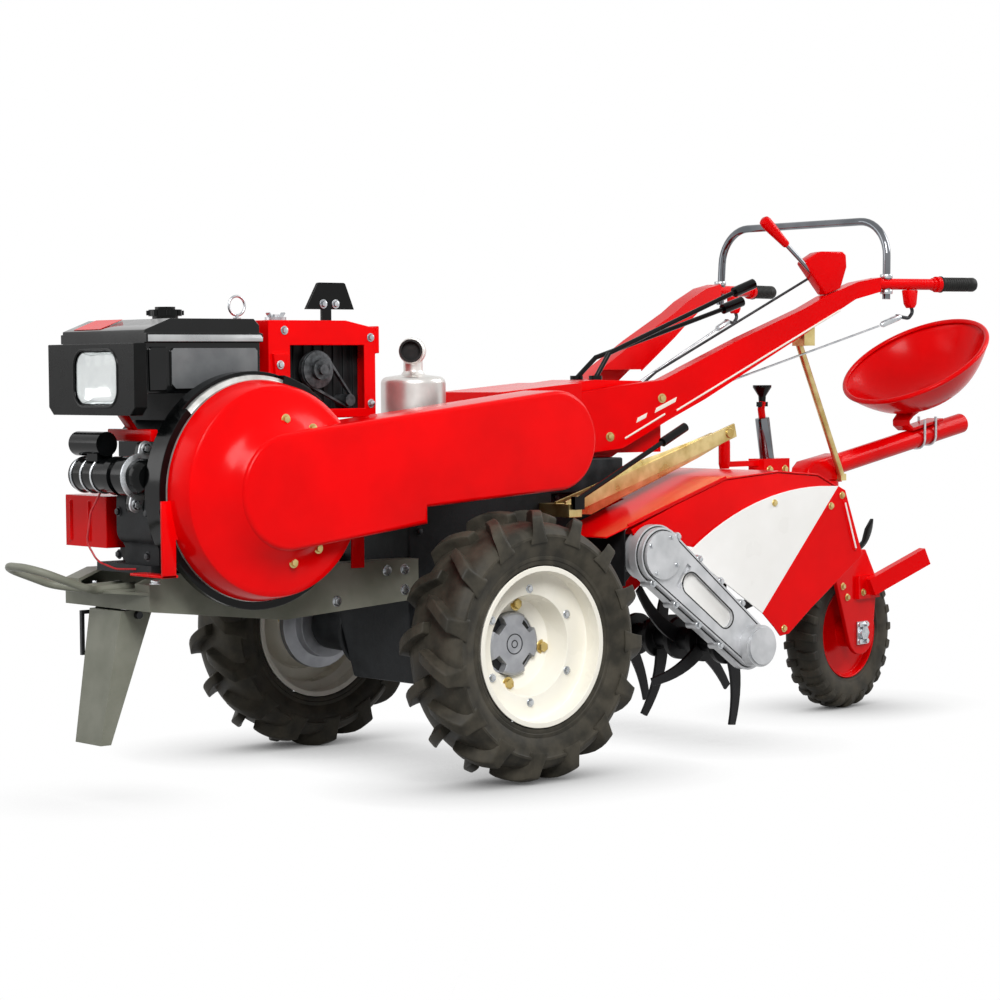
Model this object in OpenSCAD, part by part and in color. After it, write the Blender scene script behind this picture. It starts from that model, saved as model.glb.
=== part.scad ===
// Walking power tiller: single-axle tractor with a flat diesel engine on a channel frame,
// handlebars, a chain-driven rotary tiller behind it, a tail wheel and a pan seat.
// Millimetres. +X is forward, +Y is the left side, +Z is up, the ground is at z = 0.

/* [Drive wheels] */
// Tyre radius to the lug tips
tyre_r = 298; // [285:1:310]
// Height of a tyre lug above the carcass
lug_h = 26; // [15:1:32]
// Lugs on each half of a drive tyre
lug_count = 15; // [12:1:18]
// Tyre section width
tyre_w = 162; // [150:1:180]
// Distance from the centre plane to a drive wheel's middle
half_track = 404; // [385:1:430]
// Radius of the rim flange
rim_r = 177; // [165:1:185]
// Width over the rim flanges
rim_w = 136; // [120:1:140]

/* [Belt guard] */
// Crank centre, height
crank_z = 653; // [645:1:665]
// Radius of the flywheel disc of the guard
disc_r = 220; // [214:1:224]
// Radius of the pan's front end
pan_r = 122; // [110:1:128]
// Outer face of the guard's disc
guard_y = 316; // [300:1:320]
// Outer face of the raised pan of the guard
pan_y = 368; // [350:1:375]
// Sheet thickness of the guard
guard_t = 3; // [2:0.5:5]

/* [Handlebars] */
// Radius of the handle tube
tube_r = 14; // [12:0.5:15]
// Radius of a hand grip
grip_r = 18; // [16:0.5:20]
// Height of the hoop's top
hoop_z = 1281; // [1230:1:1320]

/* [Tiller] */
// Rotor shaft height
rotor_z = 241; // [230:1:260]
// Reach of the tines from the rotor shaft
tine_r = 212; // [190:1:220]
// Rows of tines along the rotor
tine_rows = 8; // [4:2:10]

/* [Tail wheel and seat] */
// Tail tyre radius
tail_r = 202; // [190:1:210]
// Tail tyre width
tail_w = 96; // [85:1:100]
// Angle the tail wheel is turned at rest
tail_turn = 8.6; // [0:0.1:12]
// Seat pan radius
seat_r = 203; // [185:1:215]
// Tilt of the seat pan
seat_tilt = 25; // [20:1:30]

/* [Stand] */
// Length of the front stand below its pivot
stand_len = 272; // [240:1:290]

/* [Hidden] */
x_front = 1047;
x_rear = -1962;
shift_x = -(x_front + x_rear) / 2;
axle_z = tyre_r;
crank = [594, crank_z];
wheel_r = disc_r + 22;
rotor = [-762, rotor_z];
gap = 0.3;
rail_y = 165;
rail_top = 482;
rail_low = 392;
gear_x = 100;
arm_dir = 13.33;
bar_k = 1 / cos(arm_dir);
head_x = -1410;
tail_axle = [-1466, tail_r];
tail_rim_r = tail_r - 80;
crown_z = tail_r * 2 + 7;
hub_y = half_track - 49;
stand_pivot = [779, 392];

// Points along an arc
function arc(c, r, a0, a1, n) =
  [for (i = [0 : n]) let (a = a0 + (a1 - a0) * i / n) [c[0] + r * cos(a), c[1] + r * sin(a)]];

// Outline of a belt run round two circles
function belt_loop(c1, r1, c2, r2) =
  let (d = norm(c2 - c1), p = atan2(c2[1] - c1[1], c2[0] - c1[0]), b = acos((r1 - r2) / d))
  concat(arc(c1, r1, p + b, p + 360 - b, 40), arc(c2, r2, p - b, p + b, 28));

// A flat outline in the side view, given depth from y0 to y1
module side(y0, y1) {
  translate([0, y1, 0]) rotate([90, 0, 0]) linear_extrude(y1 - y0) children();
}

// A box given by its two corners
module block(a, b) {
  translate(a) cube(b - a);
}

// A round bar between two points
module rod(a, b, r, fn = 24) {
  v = b - a;
  l = norm(v);
  translate(a)
    rotate([0, acos(v[2] / l), atan2(v[1], v[0])])
      cylinder(h = l, r = r, $fn = fn);
}

// A round bar along a run of points, with ball corners
module run(pts, r, fn = 24) {
  for (i = [0 : len(pts) - 2])
    rod(pts[i], pts[i + 1], r, fn);
  if (len(pts) > 2)
    for (i = [1 : len(pts) - 2])
      translate(pts[i]) sphere(r = r + 0.2, $fn = fn);
}

// A cylinder across the machine
module cross(x, z, y0, y1, r, fn = 48) {
  translate([x, y0, z]) rotate([-90, 0, 0]) cylinder(h = y1 - y0, r = r, $fn = fn);
}

// A turned shape across the machine, profile points [radius, y]
module turned(pts, fn = 64) {
  rotate([-90, 0, 0]) rotate_extrude($fn = fn) polygon(pts);
}

// Both sides of the machine
module both() {
  children();
  mirror([0, 1, 0]) children();
}

module place() {
  translate([shift_x, 0, 0]) children();
}

// Front frame: two channel rails, a nose plate that narrows to the loop and a cross strip
module front_frame() {
  t = 6;
  nose = rail_top - 36;
  color("#7d8084") place() {
    both() difference() {
      side(rail_y - 55, rail_y)
        polygon([[gear_x, rail_low], [470, rail_low - 24], [815, rail_low + 14], [815, rail_top - 20],
          [760, rail_top], [gear_x, rail_top]]);
      side(rail_y - 60, rail_y - t)
        polygon([[gear_x - 10, rail_low + t], [470, rail_low - 24 + t], [809, rail_low + 20], [809, rail_top - 25],
          [759, rail_top - t], [gear_x - 10, rail_top - t]]);
    }
    difference() {
      block([720, -rail_y + t, nose - t], [815, rail_y - t, nose]);
      cross_hole(750, nose);
    }
    translate([0, 0, nose - t]) linear_extrude(t)
      polygon([[815, -rail_y], [838, -70], [846, -40], [846, 40], [838, 70], [815, rail_y]]);
    block([809, -rail_y + t, rail_low + 14], [815, rail_y - t, nose - t]);
    block([300, -rail_y + t, rail_low - 8], [380, rail_y - t, rail_low]);
  }
}

// Tow loop: a round bar bent in a hairpin, its legs laid on the front plate
module tow_loop() {
  r = 11;
  z0 = rail_top - 36 + r + gap;
  bend_x = 835;
  half = 34;
  rise = 14;
  leg = (x_front - r - bend_x) / cos(rise) - half;
  eye = concat([[leg, -half]], [for (a = [-67.5 : 22.5 : 67.5]) [leg + half * cos(a), half * sin(a)]], [[leg, half]]);
  color("#85888c") place()
    run(concat([[762, -half, z0], [bend_x, -half, z0]],
      [for (p = eye) [bend_x + p[0] * cos(rise), p[1], z0 + p[0] * sin(rise)]],
      [[bend_x, half, z0], [762, half, z0]]), r);
}

// Stand pin: a cross bolt in two lugs under the front plate, with its hanging latch rod
module stand_pin() {
  p = stand_pivot;
  color("#4a4c4f") place() {
    cross(p[0], p[1], -84, 72, 8, 24);
    for (s = [-1, 1])
      block([p[0] - 14, s * 45 - 4, p[1] - 14], [p[0] + 14, s * 45 + 4, rail_top - 42]);
    cross(p[0], p[1], -84, -74, 15, 24);
    block([p[0], -84, p[1] - 4], [p[0] + 52, -76, p[1] + 4]);
    block([p[0] + 44, -84, p[1] - 92], [p[0] + 52, -76, p[1]]);
  }
}

// Front stand: a folded channel leg, deep at its pin, narrow at the foot
module front_stand() {
  p = stand_pivot;
  t = 5;
  l = stand_len;
  top = 10;
  color("#8b8e92") place() translate([p[0], 0, p[1]]) difference() {
    intersection() {
      side(-62, 62)
        polygon([[40, top], [88, -l], [62, -l], [-38, top]]);
      rotate([90, 0, 90]) translate([0, 0, -100]) linear_extrude(200)
        polygon([[-62, top], [62, top], [50, -l], [-50, -l]]);
    }
    intersection() {
      side(-70, 70)
        polygon([[40 - t - 2, top + 10], [88 - t - 1, -l + t], [40, -l + t], [-90, top + 10]]);
      rotate([90, 0, 90]) translate([0, 0, -100]) linear_extrude(200)
        polygon([[-62 + t, top + 10], [62 - t, top + 10], [50 - t, -l + t], [-50 + t, -l + t]]);
    }
    cross(0, 0, -90, 90, 8 + gap, 24);
  }
}

// Round holes along the nose plate
module cross_hole(x, z) {
  for (y = [-100, 100])
    translate([x, y, z - 20]) cylinder(h = 40, r = 9, $fn = 24);
}

// Engine block: a hollow cast crankcase on feet, with the ribbed timing case at its front
module engine_block() {
  back = 330;
  front = 690;
  nose = 800;
  t = 12;
  color("#3b3d40") place() {
    difference() {
      side(-140, 150)
        polygon([[back, 500], [front, 500], [front, 770], [front - 30, 800], [back, 800]]);
      side(-140 + t, 150 - t)
        polygon([[back + t, 500 + t], [front - t, 500 + t], [front - t, 770 - 6], [front - 36, 800 - t],
          [back + t, 800 - t]]);
    }
    difference() {
      side(20, 150)
        polygon(concat([[front, 500], [nose - 20, 500], [nose - 20, 535]],
          arc([nose - 30, 570], 30, -60, 0, 6), arc([nose - 40, 630], 40, 0, 90, 8), [[front, 680]]));
      side(20 + t, 150 - t)
        polygon([[front, 500 + t], [nose - 36, 500 + t], [nose - 20, 580], [nose - 20, 630], [front, 660]]);
    }
    for (y = [52, 84, 116])
      side(y, y + 8) polygon(concat([[nose - 12, 545]], arc([nose - 34, 628], 38, 0, 60, 6), [[nose - 20, 560]]));
    block([front - 40, -60, rail_top], [nose, 150, 500]);
    for (x = [360, 580])
      both() block([x, 80, rail_top], [x + 90, rail_y - 4, 500]);
    for (x = [540, 650])
      block([x, -120, 800], [x + 30, 120, 858]);
    for (i = [0 : 4])
      side(150, 158) polygon([[380 + i * 60, 540], [388 + i * 60, 540], [388 + i * 60, 760], [380 + i * 60, 760]]);
  }
}

// Cylinder head: cast box with fins and a rocker cover behind the crankcase
module cylinder_head() {
  color("#46484b") place() {
    difference() {
      block([100, -100, 560], [330, 110, 740]);
      block([112, -88, 572], [318, 98, 728]);
    }
    for (i = [0 : 4])
      block([118 + i * 42, -112, 575], [126 + i * 42, 122, 725]);
    block([150, -60, 740], [300, 30, 756]);
  }
}

// Flywheel: a turned iron disc on the crank's left end, behind the guard
module flywheel() {
  color("#1b1c1e") place() translate([crank[0], 0, crank[1]]) difference() {
    turned([[0, 158 + gap], [60, 158 + gap], [60, 206], [wheel_r - 6, 206], [wheel_r, 212], [wheel_r, 240],
      [wheel_r - 8, 248], [wheel_r - 40, 248], [wheel_r - 46, 222], [70, 222], [64, 244], [0, 244]], 72);
    for (a = [0 : 60 : 300])
      rotate([0, a, 0]) translate([128, 150, 0]) rotate([-90, 0, 0]) cylinder(h = 110, r = 26, $fn = 32);
  }
}

// Starter motor across the engine's front: barrel, oval flange, nose and the solenoid above
module starter() {
  c = [826, 687];
  ear = 58;
  color("#1d1e20") place() {
    translate([c[0], 0, c[1]])
      turned([[0, -78], [30, -78], [36, -70], [36, 66], [41, 66], [41, 88], [36, 88], [36, 104], [43, 110],
        [43, 140], [46, 140], [46, 152], [39, 152], [37, 178], [28, 192], [10, 194], [10, 202], [0, 202]], 48);
    side(140, 152) polygon(belt_loop([c[0] - 13, c[1] + ear], 15, [c[0] + 13, c[1] - ear], 15));
    for (s = [-1, 1])
      cross(c[0] - s * 13, c[1] + s * ear, 152, 162, 10, 6);
    cross(c[0] + 8, c[1] + 66, -70, 40, 26, 40);
    cross(c[0] + 8, c[1] + 66, -78, -70, 20, 32);
    block([c[0] - 12, -10, c[1] + 30], [c[0] + 26, 30, c[1] + 46]);
    block([690, 40, 682], [800, 130, 726]);
  }
}

// Air box: painted sheet box on the right of the engine's front
module air_box() {
  a = [690, -184, 530];
  b = [800, -20, 640];
  t = 3;
  color("#d8161a") place() {
    difference() {
      block(a, b);
      block(a + [t, t, t], b - [t, t, t]);
    }
    block([b[0], a[1] + 20, a[2] + 12], [b[0] + 4, a[1] + 26, b[2] - 12]);
    block([b[0], b[1] - 70, a[2] + 12], [b[0] + 4, b[1] - 64, b[2] - 12]);
  }
}

// Fuel tank: pressed shell with a sloped front top, a bright trim band and a side panel
module fuel_tank() {
  t = 3;
  out = [[524, 858], [806, 858], [815, 867], [815, 990], [750, 1014], [538, 1014], [524, 1000]];
  hollow = [[524 + t, 858 + t], [805, 858 + t], [815 - t, 868], [815 - t, 988], [749, 1014 - t], [539, 1014 - t],
    [524 + t, 999]];
  color("#16171a") place() difference() {
    union() {
      side(-160, 160) polygon(out);
      side(-168, 168)
        polygon(concat([[520, 964]], [[815, 964], [815, 984]], arc([526, 978], 6, 90, 180, 4)));
      both() side(158, 164)
        polygon(concat(arc([746, 878], 8, -90, 0, 4), arc([746, 942], 8, 0, 90, 4), arc([546, 942], 8, 90, 180, 4),
          arc([546, 878], 8, 180, 270, 4)));
      side(160, 166)
        polygon(concat([[764, 864], [806, 864]], arc([800, 946], 8, 0, 90, 4), [[764, 954]]));
    }
    side(-160 + t, 160 - t) polygon(hollow);
  }
}

// Fuel cap: ribbed screw cap on a short neck
module fuel_cap() {
  color("#101113") place() translate([657, 0, 1014]) {
    cylinder(h = 8, r = 28, $fn = 40);
    translate([0, 0, 8]) cylinder(h = 14, r = 36, $fn = 48);
    translate([0, 0, 22]) cylinder(h = 6, r = 22, $fn = 40);
    for (a = [22 : 45 : 337])
      rotate([0, 0, a]) translate([36, 0, 10]) cylinder(h = 10, r = 5, $fn = 16);
  }
}

// Rounded rectangle in the front view, from its corners
function frame_loop(a, b, r, n = 6) =
  concat(arc([b[0] - r, a[1] + r], r, -90, 0, n), arc([b[0] - r, b[1] - r], r, 0, 90, n),
    arc([a[0] + r, b[1] - r], r, 90, 180, n), arc([a[0] + r, a[1] + r], r, 180, 270, n));

// An outline in the front view, given depth along x
module front(x0, x1) {
  translate([x0, 0, 0]) rotate([90, 0, 90]) linear_extrude(x1 - x0) children();
}

lamp_a = [-62, 836];

lamp_b = [98, 946];

lamp_r = 32;

// Headlamp housing: black moulded front with chamfered lower corners and a rounded lamp opening
module headlamp() {
  color("#131416") place() difference() {
    front(815, 846)
      polygon([[-152, 813], [150, 813], [168, 829], [168, 963], [-170, 963], [-170, 829]]);
    front(826, 850) polygon(frame_loop(lamp_a, lamp_b, lamp_r));
    front(842, 850) polygon(frame_loop(lamp_a - [6, 6], lamp_b + [6, 6], lamp_r + 6));
  }
}

// Headlamp lens: clear block with rounded corners set in the housing
module headlamp_lens() {
  color("#dfe6ea") place()
    front(826, 843) polygon(frame_loop(lamp_a + [gap, gap], lamp_b - [gap, gap], lamp_r - gap));
}

box_top = 1012;

// Radiator housing: red sheet box with a sloped rear top, open windows on both sides
module radiator_housing() {
  t = 4;
  color("#d8161a") place() {
    difference() {
      side(-150, 150)
        polygon([[204, 800], [494, 800], [494, box_top], [284, box_top], [204, box_top - 16]]);
      side(-150 + t, 150 - t)
        polygon([[204 + t, 800 + t], [494 - t, 800 + t], [494 - t, box_top - t], [284, box_top - t],
          [204 + t, box_top - 16 - t]]);
      block([235, -160, 820], [436, 160, 958]);
    }
    block([196, -154, 940], [204, 154, 1000]);
    side(150, 158) polygon([[452, 860], [478, 860], [486, 940], [444, 940]]);
  }
}

// Radiator core: finned block behind the housing's windows
module radiator_core() {
  color("#202225") place() {
    for (i = [0 : 9])
      block([214 + i * 27, 60, 804], [226 + i * 27, 96, 990]);
    block([208, 66, 804], [490, 90, 990]);
  }
}

// Fan pulley and belt in the housing's window, with the idler below
module fan_pulley() {
  c = [352, 905];
  idler = [268, 838];
  color("#2c2e31") place() {
    cross(c[0], c[1], 96, 160, 11, 24);
    translate([c[0], 0, c[1]])
      turned([[11, 118], [40, 118], [40, 122], [32, 128], [40, 134], [40, 138], [22, 140], [22, 152], [11, 152]], 48);
    cross(idler[0], idler[1], 96, 142, 13, 24);
    difference() {
      side(123, 133) polygon(belt_loop(c, 42, idler, 16));
      side(120, 136) polygon(belt_loop(c, 36, idler, 12));
    }
  }
}

// Lifting plate: a black trapezoid on a forked stem
module lifting_plate() {
  color("#18191b") place() {
    difference() {
      side(-4, 4)
        polygon(concat([[150, 1040], [285, 1040]], arc([246, 1092], 8, 40, 90, 4), arc([180, 1092], 8, 90, 140, 4)));
      for (x = [203, 237])
        cross(x, 1052, -8, 8, 8, 24);
    }
    side(-4, 4) polygon([for (x = [214, 240]) [x, box_top - 16 + (x - 204) / 5], [240, 1044], [214, 1044]]);
  }
}

// Eye bolt between tank and radiator, with the winged filler cap behind it
module lifting_ring() {
  wire = 3;
  color("#b8bcc0") place() {
    translate([470, 0, box_top]) {
      cylinder(h = 8, r = 10, $fn = 6);
      cylinder(h = 14, r = 4, $fn = 20);
      translate([0, 0, 34]) rotate([90, 0, 0]) rotate_extrude($fn = 40) translate([21, 0]) circle(r = wire, $fn = 16);
    }
    translate([366, 0, box_top]) {
      cylinder(h = 10, r = 24, $fn = 40);
      cylinder(h = 16, r = 8, $fn = 24);
      for (s = [-1, 1])
        rotate([0, s * 35, 0]) translate([s * 6 - 1.5, -7, 8]) cube([3, 14, 20]);
    }
  }
}

// Muffler: upright drum with rolled shoulders behind the head, with a short neck and an open elbow
module muffler() {
  c = [26, 60];
  drum = 74;
  pipe = 22;
  elbow = 946;
  color("#57595c") place() {
    difference() {
      union() {
        translate([c[0], c[1], 0]) rotate_extrude($fn = 64)
          polygon(concat([[0, 748], [drum - 14, 748]], arc([drum - 12, 760], 12, -80, 0, 5),
            arc([drum - 16, 872], 16, 0, 80, 6), [[pipe + 6, 892], [pipe, 900], [pipe, 940], [0, 940]]));
        translate([c[0], c[1], elbow]) {
          sphere(r = 30.4, $fn = 40);
          rotate([0, 90, 45]) cylinder(h = 24, r = 30, $fn = 40);
          rotate([0, 90, 45]) cylinder(h = 46, r = 26, $fn = 40);
        }
      }
      translate([c[0], c[1], elbow]) rotate([0, 90, 45]) cylinder(h = 60, r = 22, $fn = 40);
    }
    translate([c[0], c[1], 690]) cylinder(h = 62, r = pipe, $fn = 32);
    translate([c[0], c[1], 690]) sphere(r = pipe + 0.3, $fn = 32);
    translate([c[0], c[1], 690]) rotate([0, 90, 0]) cylinder(h = 100 - c[0], r = pipe, $fn = 32);
  }
}

// Belt guard: pressed sheet cover, a coned disc over the flywheel and a deep pan over the belts
pan_rear = [-146, 742];

pan_rear_r = 112;

pan_step = [232, 572];

step_rise = 36;

guard_back = 252;

// Outline of the pan, drawn in by t for the inner wall
function pan_outline(t) =
  concat(belt_loop(crank, pan_r - t, pan_rear, pan_rear_r - t),
    [[pan_step[0] + t, pan_step[1] + step_rise + t], [pan_step[0] + t, pan_step[1] + t]]);

// Profile of the coned disc, drawn in by t
function disc_profile(t) =
  [[0, guard_back - t], [disc_r + 12 - t, guard_back - t], [disc_r - t, guard_y - t], [disc_r - 18 - t, guard_y + 3 - t],
    [pan_r - 6 - t, pan_y - 12 - t], [0, pan_y - 12 - t]];

module belt_guard() {
  t = guard_t;
  color("#d8161a") place() {
    difference() {
      union() {
        translate([crank[0], 0, crank[1]]) turned(disc_profile(0), 96);
        side(guard_back, pan_y) polygon(pan_outline(0));
      }
      translate([crank[0], -0.5, crank[1]]) turned(disc_profile(t), 96);
      side(guard_back - 5, pan_y - t) polygon(pan_outline(t));
    }
    block([820, rail_y, rail_top - 20], [846, 262, rail_top - 14]);
    block([820, 256, rail_top - 20], [846, 262, 620]);
    block([800, 256, 560], [820, 262, 620]);
    block([256, rail_y, 470], [290, rail_y + 5, 560]);
    block([256, rail_y, 556], [290, 262, 568]);
    block([-80, 130, 627], [-20, 262, 650]);
  }
}

// Gearbox: hollow cast transmission case round the axle, with a raised rear
module gearbox() {
  color("#3a3c3e") place() difference() {
    side(-130, 130)
      polygon([[100, 330], [100, 560], [60, 640], [-300, 690], [-560, 690], [-560, 610], [-330, 610], [-330, 440],
        [-190, 220], [-120, 190], [60, 190]]);
    side(-118, 118)
      polygon([[88, 336], [88, 556], [54, 630], [-300, 678], [-548, 678], [-548, 622], [-318, 622], [-318, 446],
        [-182, 228], [-116, 202], [56, 202]]);
  }
}

// Axle housings: trumpets from the gearbox out to the hubs
module axle_housings() {
  color("#333538") place() both() difference() {
    translate([0, 130, axle_z])
      turned([[0, 0], [95, 0], [95, 14], [62, 40], [58, hub_y - 187], [0, hub_y - 187]], 48);
    cross(0, axle_z, 140, hub_y - 45, 25 + gap, 32);
  }
}

// Hub: slotted cap and flange on a stub shaft, drawn for the left wheel
module hub_shape() {
  translate([0, 0, axle_z]) difference() {
    turned([[0, 150], [25, 150], [25, hub_y - 51], [80, hub_y - 51], [80, hub_y - 25], [108, hub_y - 15],
      [108, hub_y], [70, hub_y], [70, hub_y + 17], [64, hub_y + 21], [0, hub_y + 21]], 64);
    for (a = [45 : 90 : 315])
      rotate([0, a, 0]) translate([56, hub_y + 1, 0]) rotate([-90, 0, 0])
        linear_extrude(30) polygon([[-9, -15], [22, -24], [22, 24], [-9, 15]]);
  }
}

module left_hub() {
  color("#b9bcbf") place() hub_shape();
}

module right_hub() {
  color("#b9bcbf") place() mirror([0, 1, 0]) hub_shape();
}

// Rim: pressed steel well with flanges and a dished disc, drawn for the left wheel
module rim_shape() {
  w = rim_w / 2;
  b = rim_r - 12;
  translate([0, half_track, axle_z]) {
    turned([[rim_r, -w], [rim_r, -w + 4], [b + 4, -w + 8], [b + 4, -30], [b - 16, -22], [b - 16, 6],
      [b + 4, 24], [b + 4, w - 8], [rim_r, w - 4], [rim_r, w], [b, w], [b, 26], [b - 12, 22],
      [b - 30, 22], [112, 22], [100, -32], [71, -44], [71, -49], [104, -38], [116, 16], [b - 30, 16],
      [b - 20, 12], [b - 20, -24], [b, -34], [b, -w]], 64);
  }
}

module left_rim() {
  color("#f1f0ec") place() rim_shape();
}

module right_rim() {
  color("#f1f0ec") place() mirror([0, 1, 0]) rim_shape();
}

// Drive tyre: full carcass with slanted bar lugs on both halves, drawn for the left wheel
module wheel_prism(r, w, n) {
  rotate([90, 0, 0]) linear_extrude(2 * w, center = true)
    polygon([for (i = [0 : n - 1]) [r * cos(i * 360 / n), r * sin(i * 360 / n)]]);
}

module tyre_shape() {
  w = tyre_w / 2;
  c = tyre_r - lug_h;
  step = 360 / lug_count;
  n = 2 * lug_count;
  lug_t = 17;
  lean = 46;
  translate([0, half_track, axle_z]) {
    difference() {
      hull() {
        wheel_prism(rim_r + 8, rim_w / 2 - 4, n);
        wheel_prism(c - 36, w, n);
        wheel_prism(c - 8, w - 14, n);
        wheel_prism(c + 1, w - 38, n);
      }
      wheel_prism((rim_r + gap) / cos(180 / n), tyre_w, n);
    }
    for (s = [-1, 1])
      for (i = [0 : lug_count - 1])
        rotate([0, i * step + (s > 0 ? step / 2 : 0) + 90, 0]) intersection() {
          translate([c - 36, 0, 0]) rotate([90, 0, 90]) linear_extrude(lug_h + 40)
            polygon([[s * -2, lean / 2 - 6], [s * 12, lean / 2 + lug_t], [s * (w + 4), -lean / 2 + lug_t - 2],
              [s * (w + 4), -lean / 2 - lug_t]]);
          linear_extrude(2 * lean, center = true)
            polygon([[c - 36, s * -4], [tyre_r - 2.4, s * -4], [tyre_r - 2.4, s * (w - 24)], [c - 8, s * (w + 3)],
              [c - 36, s * (w + 3)]]);
        }
  }
}

module left_tyre() {
  color("#1c1c1d") place() tyre_shape();
}

module right_tyre() {
  color("#1c1c1d") place() mirror([0, 1, 0]) tyre_shape();
}

// Handlebar console: red tunnel that carries both arms
module console() {
  inner = [[-690, 122], [-442, 63], [-442, 115], [-190, 115]];
  color("#d8161a") place() difference() {
    intersection() {
      side(-130, 130)
        polygon([[-190, 690], [-560, 690], [-690, 770], [-690, 850], [-640, 872], [-520, 876], [-190, 850]]);
      translate([0, 0, 600]) linear_extrude(400)
        polygon(concat(inner, [for (i = [3 : -1 : 0]) [inner[i][0], -inner[i][1]]]));
    }
    side(-60, 60)
      polygon([[-194, 680], [-556, 680], [-686, 772], [-686, 847], [-638, 868], [-520, 872], [-194, 846]]);
    block([-438, -111, 680], [-194, 111, 844]);
  }
}

// Side outline of an arm: a pressed channel that tapers up to the tube
arm_top = [[-449, 846], [-560, 862], [-668, 874], [-890, 975], [-1065, 1047], [-1124, 1077], [-1218, 1113],
  [-1286, 1125]];

arm_low = [[-1286, 1089], [-1212, 1070], [-1107, 1010], [-1064, 983], [-783, 826], [-683, 777], [-560, 712],
  [-449, 700]];

arm_half = 22;

tube_z = 1109;

// Handlebar arm with its handle tube and collar, drawn for the left side
module arm_shape() {
  pts = [for (p = concat(arm_top, arm_low)) [(p[0] + 500) * bar_k, p[1]]];
  wall = 3;
  translate([-500, 100, 0]) rotate([0, 0, -arm_dir]) {
    difference() {
      side(-arm_half + gap, arm_half) polygon(pts);
      translate([0, 0, -wall]) side(-arm_half + wall, arm_half - wall) polygon(pts);
      block([-420, -60, 600], [200, -arm_half + wall, 900]);
    }
    block([-190, -arm_half + gap, 700], [40, -arm_half + wall, 820]);
    rod([(-1270 + 500) * bar_k, 0, tube_z], [(-1474 + 500) * bar_k, 0, tube_z], tube_r);
    rod([(-1462 + 500) * bar_k, 0, tube_z], [(-1474 + 500) * bar_k, 0, tube_z], grip_r + 2);
    rod([(-1452 + 500) * bar_k, 0, tube_z], [(-1462 + 500) * bar_k, 0, tube_z], tube_r + 2);
  }
}

module left_arm() {
  color("#d8161a") place() arm_shape();
}

module right_arm() {
  color("#d8161a") place() mirror([0, 1, 0]) arm_shape();
}

// Hand grips on the tubes' ends
module grips() {
  l0 = (-1474 + 500) * bar_k;
  l1 = (-1581 + 500) * bar_k;
  color("#17181a") place() both() translate([-500, 100, 0]) rotate([0, 0, -arm_dir])
    rod([l0, 0, tube_z], [l1, 0, tube_z], grip_r);
}

// Distance of a handle from the centre plane at a given x
function bar_y(x) = 100 + (-500 - x) * tan(arm_dir);

// Hoop: chromed round tube bent over the handles, its stubs under them
module hoop() {
  r = 10;
  x = -1316;
  y = bar_y(x);
  low = tube_z + tube_r + 3 * gap;
  top = hoop_z - r - 1;
  bend = 92;
  lean = 9;
  c = [y - 3 - bend, top - bend];
  half = concat([[y, low]], arc(c, bend, 4, 86, 4));
  loop = concat(half, [for (i = [len(half) - 1 : -1 : 0]) [-half[i][0], half[i][1]]]);
  color("#c9ccd0") place() {
    run([for (p = loop) [x - lean * (p[1] - low) / (top - low), p[0], p[1]]], r);
    both() rod([x, y, tube_z - tube_r - 24], [x, y, tube_z - tube_r - gap], r);
  }
}

// Main clutch lever: chromed rod with a red hand piece
module clutch_lever() {
  color("#d8161a") place() {
    rod([-1095, 252, 1130], [-1010, 240, 1200], 6);
    rod([-1010, 240, 1200], [-940, 230, 1262], 14);
  }
}

// Lever shroud: red pressed cover at the lever's foot
module lever_shroud() {
  out = [[-1070, 1050.5], [-1124, 1078], [-1212, 1112], [-1206, 1176], [-1190, 1184], [-1130, 1184], [-1092, 1160]];
  cut = [[-1074, 1040], [-1124, 1070], [-1209, 1104], [-1203, 1175], [-1189, 1181], [-1131, 1181], [-1095, 1158]];
  color("#d8161a") place() difference() {
    translate([-500, 100, 0]) rotate([0, 0, -arm_dir]) difference() {
      side(-20, 20) polygon([for (p = out) [(p[0] + 500) * bar_k, p[1]]]);
      side(-17, 17) polygon([for (p = cut) [(p[0] + 500) * bar_k, p[1]]]);
    }
    rod([-1095, 252, 1130], [-1010, 240, 1200], 8);
  }
}

// Steering levers: brackets under the tubes, hooked levers and their pull rods
module steering_levers() {
  x = -1386;
  y = bar_y(x);
  color("#a9adb1") place() both() {
    side(y - 10, y + 10)
      polygon([[x - 18, tube_z - tube_r - gap], [x + 18, tube_z - tube_r - gap], [x + 12, tube_z - 52],
        [x - 2, tube_z - 60], [x - 14, tube_z - 52]]);
    run([[x, y, tube_z - 50], [x - 10, y, tube_z - 72], [x + 6, y - 1, tube_z - 84], [x + 40, y - 9, tube_z - 80]], 5, 16);
    rod([x + 30, y - 6.5, tube_z - 81.2], [x + 80, y - 18, tube_z - 101], 8, 20);
    rod([x + 60, y - 13.4, tube_z - 93], [-700, 98, 805], 3.5, 16);
    block([-716, 90, 795], [-690 - gap, 106, 815]);
  }
}

// A flat or square bar between two points, w across and h deep
module flat_bar(a, b, w, h) {
  v = b - a;
  l = norm(v);
  translate(a)
    rotate([0, acos(v[2] / l), atan2(v[1], v[0])])
      translate([-h / 2, -w / 2, 0]) cube([h, w, l]);
}

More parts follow.
